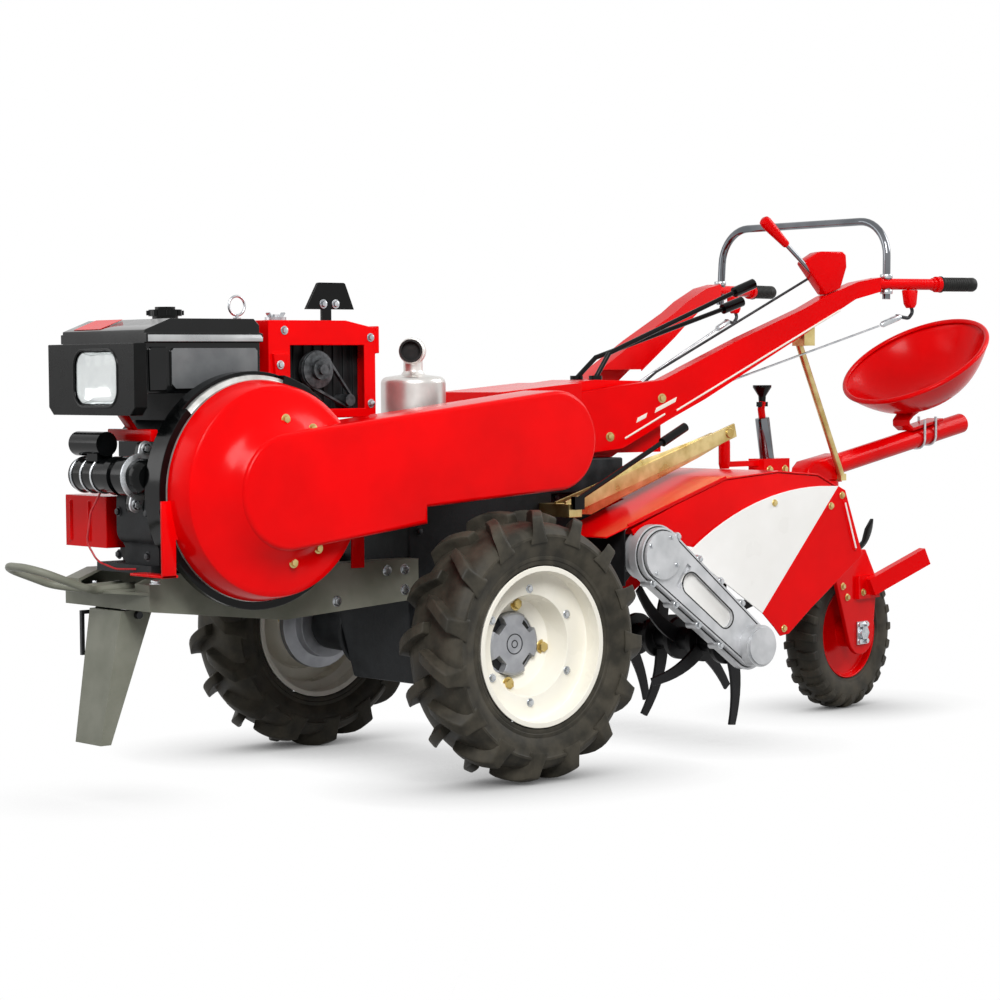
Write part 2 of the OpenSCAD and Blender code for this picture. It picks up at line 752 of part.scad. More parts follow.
// Shift levers from the console's top, and the tiller's hand lever on the left
module shift_levers() {
  color("#1c1d1f") place() {
    for (s = [-1, 1])
      rod([-560, s * 34, 876], [-560, s * 34, 886], 16);
    run([[-560, 34, 880], [-600, 40, 940], [-980, 90, 1090]], 6, 16);
    run([[-560, -34, 880], [-620, -30, 930], [-1010, 20, 1050]], 6, 16);
    rod([-980, 90, 1090], [-1040, 98, 1112], 13);
    rod([-1010, 20, 1050], [-1070, 28, 1070], 13);
    rod([-312, 243, 602], [-600, 234, 731], 6, 16);
    rod([-590, 234.3, 726.5], [-668, 232, 761.5], 11, 20);
    block([-326, 236, 578], [-296, 250, 608]);
  }
}

// Tiller levers: two plated flat bars side by side on a bracket of the gearbox
module tiller_lever() {
  color("#a08a3c") place() {
    block([-330, 130 + gap, 560], [-290, 236, 590]);
    flat_bar([-300, 214, 580], [-930, 140, 748], 6, 34);
    flat_bar([-300, 180, 578], [-880, 112, 726], 6, 34);
    rod([-905, 135, 741], [-905, 150, 741], 12, 24);
  }
}

// Drive case: hollow tiller gear case bolted behind the gearbox, with its cross tube and bearing arm
module drive_case() {
  t = 12;
  color("#3a3c3e") place() {
    difference() {
      union() {
        block([-520, -110, 420], [-330, 110, 608]);
        cross(-460, 471, -318, 300, 44, 40);
      }
      block([-520 + t, -110 + t, 420 + t], [-330 - t, 110 - t, 608 - t]);
      cross(-460, 471, -290, 280, 34, 40);
    }
    difference() {
      side(-312, -300) polygon(belt_loop([-460, 471], 56, rotor, 46));
      cross(rotor[0], rotor[1], -320, -290, 27 + gap, 32);
    }
  }
}

// Hood: curved sheet over the rotor
hood_out = [[-330, 517], [-420, 545], [-560, 590], [-720, 640], [-900, 652], [-1040, 640], [-1130, 600], [-1190, 440]];

module hood() {
  t = 4;
  low = [for (p = hood_out) [p[0] + (p[0] < -1100 ? t : 0), p[1] - t]];
  color("#d8161a") place()
  difference() {
    side(-318, 318) polygon(concat(hood_out, [for (i = [len(low) - 1 : -1 : 0]) low[i]]));
    block([-562, -132, 400], [-300, 132, 700]);
    block([-1300, -35 - gap, 480], [-1090, 35 + gap, 601]);
  }
}

// Apron: dark sheet that closes the hood's front edge beside the gear case
module hood_apron() {
  x = [-396, -392];
  edge = [for (k = x) [k, 512.98 + (-330 - k) * 28 / 90]];
  color("#26272a") place() both()
    side(138, 312) polygon([[x[0], 400], [x[1], 400], edge[1], edge[0]]);
}

// Side panels: white sheet ends with a red rear flap, drawn for the left side
panel_join = [[-1108, 608], [-838, 310]];

module panel_shape() {
  side(318, 322)
    polygon(concat(arc([-1043, -184], 794, 55, 90, 14), [panel_join[0], panel_join[1]]));
}

module flap_shape() {
  side(318, 322)
    polygon([panel_join[0], [-1133, 597], [-1196, 433], [-1010, 312], [-930, 254], [-900, 250], [-880, 272],
      panel_join[1]]);
  side(322, 326)
    polygon([[-1120, 574], [-1128, 568], [-1172, 448], [-1163, 446]]);
}

module left_side_panel() {
  color("#f2f1ee") place() panel_shape();
}

module right_side_panel() {
  color("#f2f1ee") place() mirror([0, 1, 0]) panel_shape();
}

module left_rear_panel() {
  color("#d8161a") place() flap_shape();
}

module right_rear_panel() {
  color("#d8161a") place() mirror([0, 1, 0]) flap_shape();
}

// Chain case: cast cover with two rails round a long pocket, bolt bosses, a top disc and the rotor's bearing cap
module chain_case() {
  top = [-460, 471];
  low = rotor;
  v = (low - top) / norm(low - top);
  n = [-v[1], v[0]];
  color("#a9adb0") place() {
    side(328, 350) polygon(belt_loop(top, 70, low, 60));
    difference() {
      side(350, 366) polygon(belt_loop(top, 64, low, 52));
      side(354, 370) polygon(belt_loop(top + v * 118, 26, top + v * 262, 24));
      side(358, 370) polygon([for (k = [[95, -32], [95, 32], [80, 32], [80, -32]]) top + v * k[0] + n * k[1]]);
    }
    cross(top[0], top[1], 366, 374, 56, 48);
    cross(top[0], top[1], 300, 328, 60, 40);
    cross(low[0], low[1], 366, 392, 50, 48);
    cross(low[0], low[1], 392, 398, 44, 48);
    for (d = [20, 110, 200, 290])
      for (s = [-1, 1])
        let (p = top + v * d + n * s * (66 - d * 0.022))
          cross(p[0], p[1], 328, 362, 10, 20);
  }
}

// Rotor shaft with its tine holders
module rotor_shaft() {
  color("#242527") place() {
    cross(rotor[0], rotor[1], -312, 322, 27, 32);
    for (i = [0 : tine_rows - 1])
      cross(rotor[0], rotor[1], -270 + i * 540 / (tine_rows - 1) - 7, -270 + i * 540 / (tine_rows - 1) + 7, 52, 32);
  }
}

// Tines: sickle blades bolted to the holders, each swept back along a curve
function tine_sweep(r) = 70 * pow((r - 30) / (tine_r - 30), 2);

module tines() {
  tip = sqrt(pow(tine_r, 2) - pow(80, 2));
  back = [for (i = [0 : 8]) let (r = 30 + (tip - 30) * i / 8) [r, tine_sweep(r) - 20 + i]];
  edge = [for (i = [8 : -1 : 0]) let (r = 30 + (tip - 38) * i / 8) [r, tine_sweep(r) + 18 - i * 0.8]];
  color("#1a1b1c") place()
    for (i = [0 : tine_rows - 1])
      for (k = [0 : 1])
        translate([rotor[0], -270 + i * 540 / (tine_rows - 1), rotor[1]])
          rotate([0, i * 67 + k * 180, 0])
            side(7 + gap, 15 + gap) polygon(concat(back, edge));
}

// Axis of the seat tube
seat_a = [-1372, 0, 630];

seat_b = [-1955, 0, 745];

// Tail beam: carries the steering head behind the hood
module tail_beam() {
  color("#d8161a") place() {
    difference() {
      union() {
        translate([head_x, 0, crown_z + 13]) cylinder(h = 604 - crown_z - 13, r = 34, $fn = 48);
        block([head_x - 40, -22, 600], [head_x + 40, 22, 632]);
      }
      translate([head_x, 0, crown_z + 9]) cylinder(h = 592 - crown_z - 9, r = 22 + gap, $fn = 32);
      rod([-1300, 0, 615.8], [-1955, 0, 745], 27 + gap, 40);
    }
    difference() {
      block([head_x + 20, -35, 520], [-1100, 35, 600]);
      block([head_x + 30, -31, 524], [-1090, 31, 596]);
      translate([head_x, 0, 420]) cylinder(h = 300, r = 30, $fn = 32);
    }
  }
}

// Depth screw: upright guide tube and screw with a trumpet knob on the tail beam
module depth_screw() {
  color("#3f4144") place() {
    translate([-1200, 0, 600]) cylinder(h = 8, r = 24, $fn = 32);
    rod([-1200, 0, 604], [-1172, 0, 772], 17);
    rod([-1172, 0, 772], [-1166, 0, 808], 8);
    block([-1186, -7, 802], [-1158, 7, 814]);
    translate([-1172, 0, 813]) rotate_extrude($fn = 40)
      polygon([[0, 0], [9, 0], [10, 16], [24, 38], [24, 44], [0, 44]]);
  }
}

// Screw clamp and crank: a red block round the guide tube with an arm and a hanging grip
module crank_handle() {
  color("#d8161a") place() {
    difference() {
      union() {
        block([-1244, -28, 612], [-1150, 28, 668]);
        block([-1152, -9, 650], [-1040, 9, 664]);
      }
      rod([-1200, 0, 604], [-1172, 0, 772], 17 + gap);
    }
    translate([-1034, 0, 646]) rotate_extrude($fn = 32)
      polygon([[0, 0], [12, 0], [15, 12], [15, 66], [10, 94], [0, 94]]);
  }
}

// Seat tube: sloping tube from the steering head back under the seat
module seat_tube() {
  color("#d8161a") place() difference() {
    rod(seat_a, seat_b, 27, 40);
    rod([-1330, 0, 621.7], [-1995, 0, 752.9], 23, 40);
  }
}

// Seat bracket: bent spring strip clamped on the seat tube
module seat_bracket() {
  color("#d8161a") place()
    side(-28, 28)
      polygon([[-1850, 752.6], [-1727, 728.4], [-1706, 742], [-1705, 758], [-1722, 775], [-1774.5, 798.9],
        [-1847, 832.7], [-1850.4, 825.4], [-1777.9, 791.6], [-1728, 767], [-1713, 755], [-1714, 747], [-1729, 737.2],
        [-1850, 761]]);
}

// Seat pan: round pressed dish tilted up to the rear
module seat_pan() {
  color("#d8161a") place() translate([-1765, 0, 914]) rotate([0, seat_tilt, 0])
    rotate_extrude($fn = 72)
      polygon([[0, -108], [52, -108], [90, -98], [142, -74], [180, -36], [seat_r, 0], [seat_r - 5, 2], [176, -33],
        [139, -70], [88, -94], [52, -104], [0, -104]]);
}

// Seat stay: plated rod from the handlebar down to the steering head
module seat_stay() {
  color("#a08a3c") place() {
    rod([-1080, 212, 968], [-1432, 36, 616], 9);
    translate([-500, 100, 0]) rotate([0, 0, -arm_dir]) {
      block([(-1095 + 500) * bar_k, -36, 955], [(-1065 + 500) * bar_k, arm_half - 3 - gap, 975]);
      block([(-1095 + 500) * bar_k, -arm_half + 3 + gap, 970], [(-1065 + 500) * bar_k, arm_half - 3 - gap, 1000]);
    }
    block([-1440, 22 + gap, 604 + gap], [-1420, 46, 622]);
  }
}

// Tail fork: two broad cheeks under a crown plate on a turned post, as it stands turned at rest
module turned_tail() {
  translate([head_x, 0, 0]) rotate([0, 0, tail_turn]) translate([-head_x, 0, 0]) children();
}

module tail_fork() {
  a = tail_axle;
  crown = crown_z;
  color("#d8161a") place() turned_tail() {
    translate([head_x, 0, crown]) cylinder(h = 588 - crown, r = 22, $fn = 32);
    block([head_x - 78, -74, crown], [head_x + 62, 74, crown + 10]);
    both() difference() {
      side(62, 74)
        polygon(concat([[head_x + 62, crown + 10], [head_x - 78, crown + 10], [a[0] - 76, crown - 71]],
          arc(a, 58, 180, 340, 12), [[head_x + 62, crown - 61]]));
      cross(a[0], a[1], 50, 90, 12 + gap, 24);
    }
  }
}

// Foot bars: square tubes from the fork's cheeks out to the rear
module foot_bar() {
  color("#d8161a") place() turned_tail() both() {
    block([-1540, 74, crown_z - 119], [-1440, 84, crown_z - 59]);
    flat_bar([-1480, 92, crown_z - 89], [-1644, 158, crown_z - 13], 26, 46);
  }
}

// Tail axle bolt through the fork, with a square plate on each cheek
module tail_axle_bolt() {
  a = tail_axle;
  color("#8d9094") place() turned_tail() {
    cross(a[0], a[1], -82, 82, 12, 24);
    both() {
      difference() {
        block([a[0] - 24, 74, a[1] - 30], [a[0] + 24, 79, a[1] + 30]);
        cross(a[0], a[1], 70, 90, 11, 24);
      }
      cross(a[0], a[1], 78, 88, 19, 6);
      for (x = [-16, 16])
        for (z = [-22, 22])
          cross(a[0] + x, a[1] + z, 79, 85, 7, 6);
    }
  }
}

// Tail rim: two pressed discs
module tail_rim() {
  a = tail_axle;
  color("#d8161a") place() turned_tail() translate([a[0], 0, a[1]])
    turned([[12 + gap, -50], [40, -50], [40, -20], [tail_rim_r - 10, -20], [tail_rim_r - 4, -36], [tail_rim_r, -36],
      [tail_rim_r, 36], [tail_rim_r - 4, 36], [tail_rim_r - 10, 20], [40, 20], [40, 50], [12 + gap, 50]], 64);
}

// Tail tyre: road tyre with side blocks round both shoulders
module tail_tyre() {
  a = tail_axle;
  w = tail_w / 2;
  n = 24;
  blocks = 24;
  color("#1c1c1d") place() turned_tail() translate([a[0], 0, a[1]]) {
    difference() {
      hull() {
        wheel_prism(tail_rim_r + 8, 36, n);
        wheel_prism(tail_r - 30, w - 3, n);
        wheel_prism(tail_r - 5, w - 24, n);
      }
      wheel_prism((tail_rim_r + gap) / cos(180 / n), tail_w, n);
    }
    for (i = [0 : blocks - 1])
      rotate([0, i * 360 / blocks, 0])
        for (s = [-1, 1])
          translate([0, 0, s * 7]) linear_extrude(22, center = true)
            polygon([[tail_r - 36, s * 8], [tail_r - 0.4, s * 8], [tail_r - 0.4, s * (w - 22)], [tail_r - 16, s * w],
              [tail_r - 36, s * w]]);
  }
}

front_frame();
tow_loop();
stand_pin();
front_stand();
engine_block();
cylinder_head();
starter();
air_box();
fuel_tank();
fuel_cap();
headlamp();
headlamp_lens();
radiator_housing();
radiator_core();
fan_pulley();
lifting_plate();
lifting_ring();
muffler();
flywheel();
belt_guard();
gearbox();
axle_housings();
left_hub();
left_rim();
left_tyre();
right_hub();
right_rim();
right_tyre();
console();
left_arm();
right_arm();
grips();
hoop();
clutch_lever();
lever_shroud();
steering_levers();
shift_levers();
tiller_lever();
drive_case();
hood();
hood_apron();
left_side_panel();
right_side_panel();
left_rear_panel();
right_rear_panel();
chain_case();
rotor_shaft();
tines();
tail_beam();
depth_screw();
crank_handle();
seat_tube();
seat_bracket();
seat_pan();
seat_stay();
tail_fork();
foot_bar();
tail_axle_bolt();
tail_rim();
tail_tyre();
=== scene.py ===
import math

import bpy
from mathutils import Matrix, Vector


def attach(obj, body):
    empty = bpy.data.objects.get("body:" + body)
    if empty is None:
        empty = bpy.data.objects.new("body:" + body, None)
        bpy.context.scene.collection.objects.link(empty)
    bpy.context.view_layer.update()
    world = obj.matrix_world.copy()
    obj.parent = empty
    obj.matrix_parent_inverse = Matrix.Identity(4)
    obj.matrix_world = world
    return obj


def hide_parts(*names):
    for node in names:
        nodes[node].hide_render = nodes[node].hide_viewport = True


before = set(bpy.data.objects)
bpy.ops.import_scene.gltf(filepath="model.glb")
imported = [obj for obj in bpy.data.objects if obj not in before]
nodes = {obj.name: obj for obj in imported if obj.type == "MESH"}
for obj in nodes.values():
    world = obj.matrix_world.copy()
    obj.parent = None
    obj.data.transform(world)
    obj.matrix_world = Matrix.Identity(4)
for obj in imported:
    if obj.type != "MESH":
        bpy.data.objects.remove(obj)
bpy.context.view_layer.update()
bpy.ops.object.select_all(action="DESELECT")

# Front frame and stand
# Folded steel channel and a folded leg, sprayed in one coat of warm grey machine enamel.
# The coat is thin and half matt, and it lies softly over the folded edges.


def rgb(code):
    """Linear colour of an sRGB hex value."""
    parts = [int(code[i:i + 2], 16) / 255 for i in (1, 3, 5)]
    return tuple(c / 12.92 if c <= 0.04045 else ((c + 0.055) / 1.055) ** 2.4 for c in parts) + (1.0,)


def add(tree, kind, sockets=None, **settings):
    """Adds a node to a material, with its settings, its values and its links."""
    node = tree.nodes.new("ShaderNode" + kind)
    for name, value in settings.items():
        setattr(node, name, value)
    for name, value in (sockets or {}).items():
        if isinstance(value, bpy.types.NodeSocket):
            tree.links.new(value, node.inputs[name])
        else:
            node.inputs[name].default_value = value
    return node


def finish_of(name, light, dark, patch_mm, rough, grit_mm, depth_mm, metal=0.0, shine=0.5):
    """A surface with two close colours in soft patches, uneven gloss and a fine grit.

    Patches and grit are drawn somewhat coarser than the real ones, so that they show in the picture.
    """
    mat = bpy.data.materials.new(name)
    mat.use_nodes = True
    tree = mat.node_tree
    tree.nodes.clear()
    place = add(tree, "TexCoord").outputs["Object"]
    patch = add(tree, "TexNoise", {"Vector": place, "Scale": 1000 / patch_mm, "Detail": 3.0})
    grit = add(tree, "TexNoise", {"Vector": place, "Scale": 1000 / grit_mm, "Detail": 2.0})
    tone = add(tree, "Mix", {6: rgb(dark), 7: rgb(light)}, data_type="RGBA")
    spread = add(tree, "MapRange", {"Value": patch.outputs["Fac"], "From Min": 0.35, "From Max": 0.65})
    tree.links.new(spread.outputs["Result"], tone.inputs[0])
    gloss = add(tree, "MapRange", {"Value": patch.outputs["Fac"], "From Min": 0.3, "From Max": 0.7,
                                   "To Min": rough * 0.85, "To Max": rough * 1.15})
    bump = add(tree, "Bump", {"Height": grit.outputs["Fac"], "Strength": 1.0, "Distance": depth_mm / 1000})
    paint = add(tree, "BsdfPrincipled", {"Base Color": tone.outputs[2], "Roughness": gloss.outputs["Result"],
                                         "Metallic": metal, "Specular IOR Level": shine,
                                         "Normal": bump.outputs["Normal"]})
    add(tree, "OutputMaterial", {"Surface": paint.outputs["BSDF"]})
    return mat


def dress(material, names, edge_mm=0.0, segments=2):
    """Gives CAD nodes their finish, and the soft edges that the real pieces have."""
    for name in names:
        node = nodes[name]
        node.data.materials.clear()
        node.data.materials.append(material)
        if edge_mm:
            weld = node.modifiers.new("weld", "WELD")
            weld.merge_threshold = 0.00002
            flat = node.modifiers.new("flat", "DECIMATE")
            flat.decimate_type = "DISSOLVE"
            flat.angle_limit = math.radians(0.6)
            edge = node.modifiers.new("edge", "BEVEL")
            edge.width = edge_mm / 1000
            edge.segments = segments
            edge.limit_method = "ANGLE"
            edge.angle_limit = math.radians(32)
            edge.use_clamp_overlap = True
            soft = node.modifiers.new("soft", "WEIGHTED_NORMAL")
            soft.weight = 60


frame_enamel = finish_of("grey_machine_enamel", "#86877b", "#747669", 90, 0.42, 2.5, 0.05, shine=0.2)
dress(frame_enamel, ["front_frame", "front_stand"], 2.5)

# Tow loop
# A round bar bent to a hairpin, laid on the nose plate and painted with the frame.
# Its bends are smooth, as they come from the bending table.
axle_x = 457.5


def at(x, y, z):
    """A place on the machine in metres, from millimetres measured at the axle's middle on the ground."""
    return Vector(((x + axle_x) / 1000, y / 1000, z / 1000))


def alone(piece):
    """Selects one piece and nothing else."""
    if bpy.context.mode != "OBJECT":
        bpy.ops.object.mode_set(mode="OBJECT")
    bpy.ops.object.select_all(action="DESELECT")
    piece.select_set(True)
    bpy.context.view_layer.objects.active = piece


def settle(piece, name, material, body, smooth_deg=35):
    """Finishes a piece: modifiers and place go into its mesh, then it gets its finish and its body."""
    alone(piece)
    bpy.ops.object.transform_apply(location=True, rotation=True, scale=True)
    for step in list(piece.modifiers):
        bpy.ops.object.modifier_apply(modifier=step.name)
    bpy.ops.object.shade_smooth_by_angle(angle=math.radians(smooth_deg))
    piece.name = name
    piece.data.name = name
    piece.data.materials.clear()
    piece.data.materials.append(material)
    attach(piece, body)
    return piece


def joined(pieces):
    """Several meshes made into one piece."""
    alone(pieces[0])
    for piece in pieces:
        piece.select_set(True)
    bpy.ops.object.join()
    return pieces[0]


def bent_path(corners, bend_mm):
    """Points along straight runs with a round bend at each corner."""
    path = [corners[0]]
    for before, corner, after in zip(corners, corners[1:], corners[2:]):
        back, on = (before - corner).normalized(), (after - corner).normalized()
        half = back.angle(on) / 2
        room = 0.49 * min((before - corner).length, (after - corner).length)
        reach = min(bend_mm / 1000 / math.tan(half), room)
        radius = reach * math.tan(half)
        middle = corner + (back + on).normalized() * radius / math.sin(half)
        first, last = corner + back * reach - middle, corner + on * reach - middle
        path += [middle + first.slerp(last, step / 10).normalized() * radius for step in range(11)]
    return path + [corners[-1]]


def bar(path, radius_mm, rings=4):
    """A round bar drawn along a path as a curve, then made a mesh."""
    line = bpy.data.curves.new("bar", "CURVE")
    line.dimensions = "3D"
    line.bevel_depth = radius_mm / 1000
    line.bevel_resolution = rings
    line.use_fill_caps = True
    run = line.splines.new("POLY")
    run.points.add(len(path) - 1)
    for point, place in zip(run.points, path):
        point.co = (*place, 1.0)
    drawn = bpy.data.objects.new("bar", line)
    bpy.context.scene.collection.objects.link(drawn)
    alone(drawn)
    bpy.ops.object.convert(target="MESH")
    bpy.ops.object.mode_set(mode="EDIT")
    bpy.ops.mesh.select_all(action="SELECT")
    bpy.ops.mesh.remove_doubles(threshold=0.00001)
    bpy.ops.object.mode_set(mode="OBJECT")
    return bpy.context.object


hairpin = [at(762, 27, 451), at(862, 27, 447), at(912, 66, 457), at(1032, 66, 503)]
hairpin += [Vector((p.x, -p.y, p.z)) for p in reversed(hairpin)]
tow = settle(bar(bent_path(hairpin, 50), 8.8), "tow_bar", frame_enamel, "chassis", 60)
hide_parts("tow_loop")

# Frame bolts
# Zinc-plated hexagon bolts on washers hold the engine's feet and the guard's legs on the rails.
# The plating is bright and a little cloudy.


def pick(piece, kind, test):
    """Selects the faces, edges or points of a piece whose middle passes a test, and goes to edit mode."""
    alone(piece)
    bpy.ops.object.mode_set(mode="EDIT")
    bpy.ops.mesh.select_mode(type=kind)
    bpy.ops.mesh.select_all(action="DESELECT")
    bpy.ops.object.mode_set(mode="OBJECT")
    mesh = piece.data
    if kind == "FACE":
        for face in mesh.polygons:
            face.select = test(face.center, face.normal)
    elif kind == "EDGE":
        for edge in mesh.edges:
            a, b = (mesh.vertices[i].co for i in edge.vertices)
            edge.select = test((a + b) / 2, (b - a).normalized())
    else:
        for point in mesh.vertices:
            point.select = test(point.co, point.normal)
    bpy.ops.object.mode_set(mode="EDIT")


def copied(piece, places):
    """Copies of a piece, each with its own mesh, set by its matrix and joined."""
    twins = []
    for place in places:
        twin = piece.copy()
        twin.data = piece.data.copy()
        bpy.context.scene.collection.objects.link(twin)
        twin.matrix_world = place
        twins.append(twin)
    bpy.data.objects.remove(piece)
    return joined(twins)


def hex_heads(across_mm, spots):
    """Bolt heads on washers: one is chamfered by hand, then copied to each spot, along its outward axis."""
    r = across_mm * 0.000577
    tall = across_mm * 0.00044
    bpy.ops.object.select_all(action="DESELECT")
    bpy.ops.mesh.primitive_cylinder_add(vertices=6, radius=r, depth=tall, location=(0, 0, tall / 2 + 0.0015))
    head = bpy.context.object
    bpy.ops.object.transform_apply(location=True)
    pick(head, "EDGE", lambda mid, way: mid.z > tall + 0.001)
    bpy.ops.mesh.bevel(offset=r * 0.18, segments=2)
    bpy.ops.mesh.select_all(action="DESELECT")
    bpy.ops.mesh.primitive_cylinder_add(vertices=20, radius=r * 1.4, depth=0.0018, location=(0, 0, 0.0009))
    bpy.ops.mesh.bevel(offset=0.0005, segments=1)
    bpy.ops.object.mode_set(mode="OBJECT")
    return copied(head, [Matrix.Translation(at(*p)) @ Vector(n).to_track_quat("Z", "Y").to_matrix().to_4x4()
                         for p, n in spots])


def both_sides(spots):
    """The same places on the left and on the right of the machine, each with its outward axis."""
    return [((x, s * y, z), (0, s, 0)) for s in (1, -1) for x, y, z in spots]


zinc = finish_of("bright_zinc_plate", "#c9cbcd", "#a7abaf", 18, 0.28, 1.5, 0.03, metal=0.95)
UP, LEFT, RIGHT, FORE = (0, 0, 1), (0, 1, 0), (0, -1, 0), (1, 0, 0)
rail_y, rail_top = 152, 500
feet = [((x, s * rail_y, rail_top), UP) for x in (374, 436, 594, 656) for s in (-1, 1)]
feet += [((833, 214, 468), UP), ((770, 120, 446), UP), ((770, -120, 446), UP)]
feet += both_sides([(140, 165, 460), (140, 165, 415), (190, 165, 460), (330, 165, 400)])
settle(hex_heads(15, feet), "frame_bolts", zinc, "chassis", 30)

# Stand pin
# A turned pin in two lugs with its latch rod, left dark from the forge and oiled.
# The oil keeps its skin dark, with a low sheen of metal.
forged_steel = finish_of("oiled_forged_steel", "#3d3e40", "#262729", 25, 0.4, 1.2, 0.08, metal=0.7)
dress(forged_steel, ["stand_pin"], 1.0)

# Engine castings
# Grey iron from sand moulds: crankcase, head, gearbox, axle housings and drive case.
# The mould's grain shows under a thin dark engine paint.
cast_iron = finish_of("painted_sand_cast_iron", "#2c2e30", "#191b1d", 40, 0.5, 3.0, 0.35, shine=0.15)
dress(cast_iron, ["engine_block", "cylinder_head", "gearbox", "axle_housings", "drive_case"], 4.0)
covers = [((800, y, z), FORE) for y, z in ((30, 520), (140, 520), (30, 610), (140, 610))]
covers += [((x, 158, z), LEFT) for x, z in ((352, 540), (352, 760), (672, 540), (672, 700))]
covers += both_sides([(70, 130, 540), (-20, 130, 640), (-140, 130, 660), (-250, 130, 640), (-360, 110, 600),
                      (-480, 110, 600)])
settle(hex_heads(13, covers), "casting_bolts", forged_steel, "chassis", 30)

# Starter motor
# A drawn steel barrel and its solenoid in black stove enamel, with a bright machined flange.
# The enamel is smooth and hard, so lamps draw clear lines on it.
black_enamel = finish_of("black_stove_enamel", "#0b0c0d", "#050606", 60, 0.14, 6.0, 0.015, shine=0.16)
dress(black_enamel, ["starter"], 2.0)


def mesh_piece(points, edges, faces):
    """A new piece from points in metres, edges and faces."""
    mesh = bpy.data.meshes.new("piece")
    mesh.from_pydata(points, edges, faces)
    piece = bpy.data.objects.new("piece", mesh)
    bpy.context.scene.collection.objects.link(piece)
    alone(piece)
    return piece


def outward(piece):
    """Turns the faces of a piece outwards."""
    alone(piece)
    bpy.ops.object.mode_set(mode="EDIT")
    bpy.ops.mesh.select_all(action="SELECT")
    bpy.ops.mesh.normals_make_consistent(inside=False)
    bpy.ops.object.mode_set(mode="OBJECT")


def bevelled(piece, edge_mm, segments, angle_deg):
    """Softens the edges of a piece that are sharper than an angle."""
    edge = piece.modifiers.new("edge", "BEVEL")
    edge.width = edge_mm / 1000
    edge.segments = segments
    edge.limit_method = "ANGLE"
    edge.angle_limit = math.radians(angle_deg)
    alone(piece)
    bpy.ops.object.modifier_apply(modifier="edge")


def outline_plate(points, y0, y1, edge_mm, segments=2):
    """A flat plate cut to an outline in the side view, from y0 to y1, with softened edges."""
    plate = mesh_piece([at(x, y0, z) for x, z in points], [], [range(len(points))])
    bpy.ops.object.mode_set(mode="EDIT")
    bpy.ops.mesh.select_all(action="SELECT")
    bpy.ops.mesh.extrude_region_move(TRANSFORM_OT_translate={"value": (0, (y1 - y0) / 1000, 0)})
    bpy.ops.object.mode_set(mode="OBJECT")
    outward(plate)
    if edge_mm:
        bevelled(plate, edge_mm, segments, 50)
    return plate


def arc(cx, cz, r, a0, a1, steps):
    """Points along an arc in the side view, in millimetres and degrees."""
    angles = [math.radians(a0 + (a1 - a0) * i / steps) for i in range(steps + 1)]
    return [(cx + r * math.cos(a), cz + r * math.sin(a)) for a in angles]


def belt_outline(x1, z1, r1, x2, z2, r2, steps=28):
    """Outline of a band laid round two circles."""
    way = math.degrees(math.atan2(z2 - z1, x2 - x1))
    lap = math.degrees(math.acos((r1 - r2) / math.hypot(x2 - x1, z2 - z1)))
    return (arc(x1, z1, r1, way + lap, way + 360 - lap, steps) + arc(x2, z2, r2, way - lap, way + lap, steps))


starter_x, starter_z = 826, 687
flange = outline_plate(belt_outline(813, 745, 16, 839, 629, 16), 152.2, 157, 1.2)
boss = outline_plate(arc(starter_x, starter_z, 49, 0, 354, 59), 152.3, 157.1, 1.2)
settle(joined([flange, boss]), "starter_flange", zinc, "chassis")
nut_spots = [(813, 157, 745), (839, 157, 629), (starter_x, 202, starter_z)]
settle(hex_heads(14, [(p, LEFT) for p in nut_spots]), "starter_nuts", zinc, "chassis", 30)
bands = [bar([at(x, y, z) for x, z in arc(starter_x, starter_z, 37.2, 0, 360, 36)], 2.4, 2)
         for y in (-58, -20, 20)]
settle(joined(bands), "starter_bands", zinc, "chassis", 60)

# Air box
# A box of red pressed sheet at the engine's front, with folded seams.
# Red baked enamel has a wet gloss with soft orange peel and long clear highlights.
red_enamel = finish_of("red_baked_enamel", "#ee0206", "#e00104", 160, 0.2, 7.0, 0.012, shine=0.09)
dress(red_enamel, ["air_box"], 3.0)

# Red wire at the engine's front
# A thin insulated wire that drops from the starter's barrel and goes back into the engine's foot.
# Its vinyl skin is smooth and slightly shiny.
vinyl = finish_of("red_vinyl_skin", "#c2101a", "#9a0b14", 12, 0.35, 2.0, 0.02)
drop = bent_path([at(838, 18, 650), at(852, 2, 610), at(858, -6, 545), at(846, 16, 506), at(826, 56, 491),
                  at(799, 92, 491)], 40)
wire = bar(drop, 2.2, 3)
settle(wire, "starter_wire", vinyl, "chassis", 60)

# Fuel tank and its cap
# A pressed steel tank in black stove enamel, with a rolled seam band and a grey painted side panel.
# The band is satin aluminium on the pressed seam, and its brightness is partly a painted highlight of that
# seam.
gloss_black = finish_of("polished_black_enamel", "#090a0b", "#040505", 60, 0.09, 6.0, 0.01, shine=0.3)
dress(gloss_black, ["fuel_tank"], 6.0, 3)
dress(black_enamel, ["fuel_cap"], 2.0)
satin = finish_of("satin_aluminium_seam_highlight", "#b9bbbb", "#a2a4a5", 90, 0.3, 2.0, 0.03, metal=0.85)
band_line = [(522, 966), (812, 966), (812, 980), (528, 980), (522, 974)]
trims = [outline_plate(band_line, s * 168.2, s * 169.4, 0.5) for s in (1, -1)]
settle(joined(trims), "tank_seam_highlight_band", satin, "chassis")
panel_grey = finish_of("grey_hammer_enamel", "#6b6d6e", "#5a5c5e", 70, 0.3, 4.0, 0.08, shine=0.2)
panel = [(556, 868), (742, 868), (752, 878), (752, 946), (746, 952), (540, 952), (534, 946), (534, 890)]
settle(outline_plate(panel, 164.2, 166, 0.6), "tank_panel", panel_grey, "chassis")
window = outline_plate([(740, 0), (800, 0), (800, 16), (740, 16)], -128, -24, 0.0)
front_slope = math.atan2(24, 65)
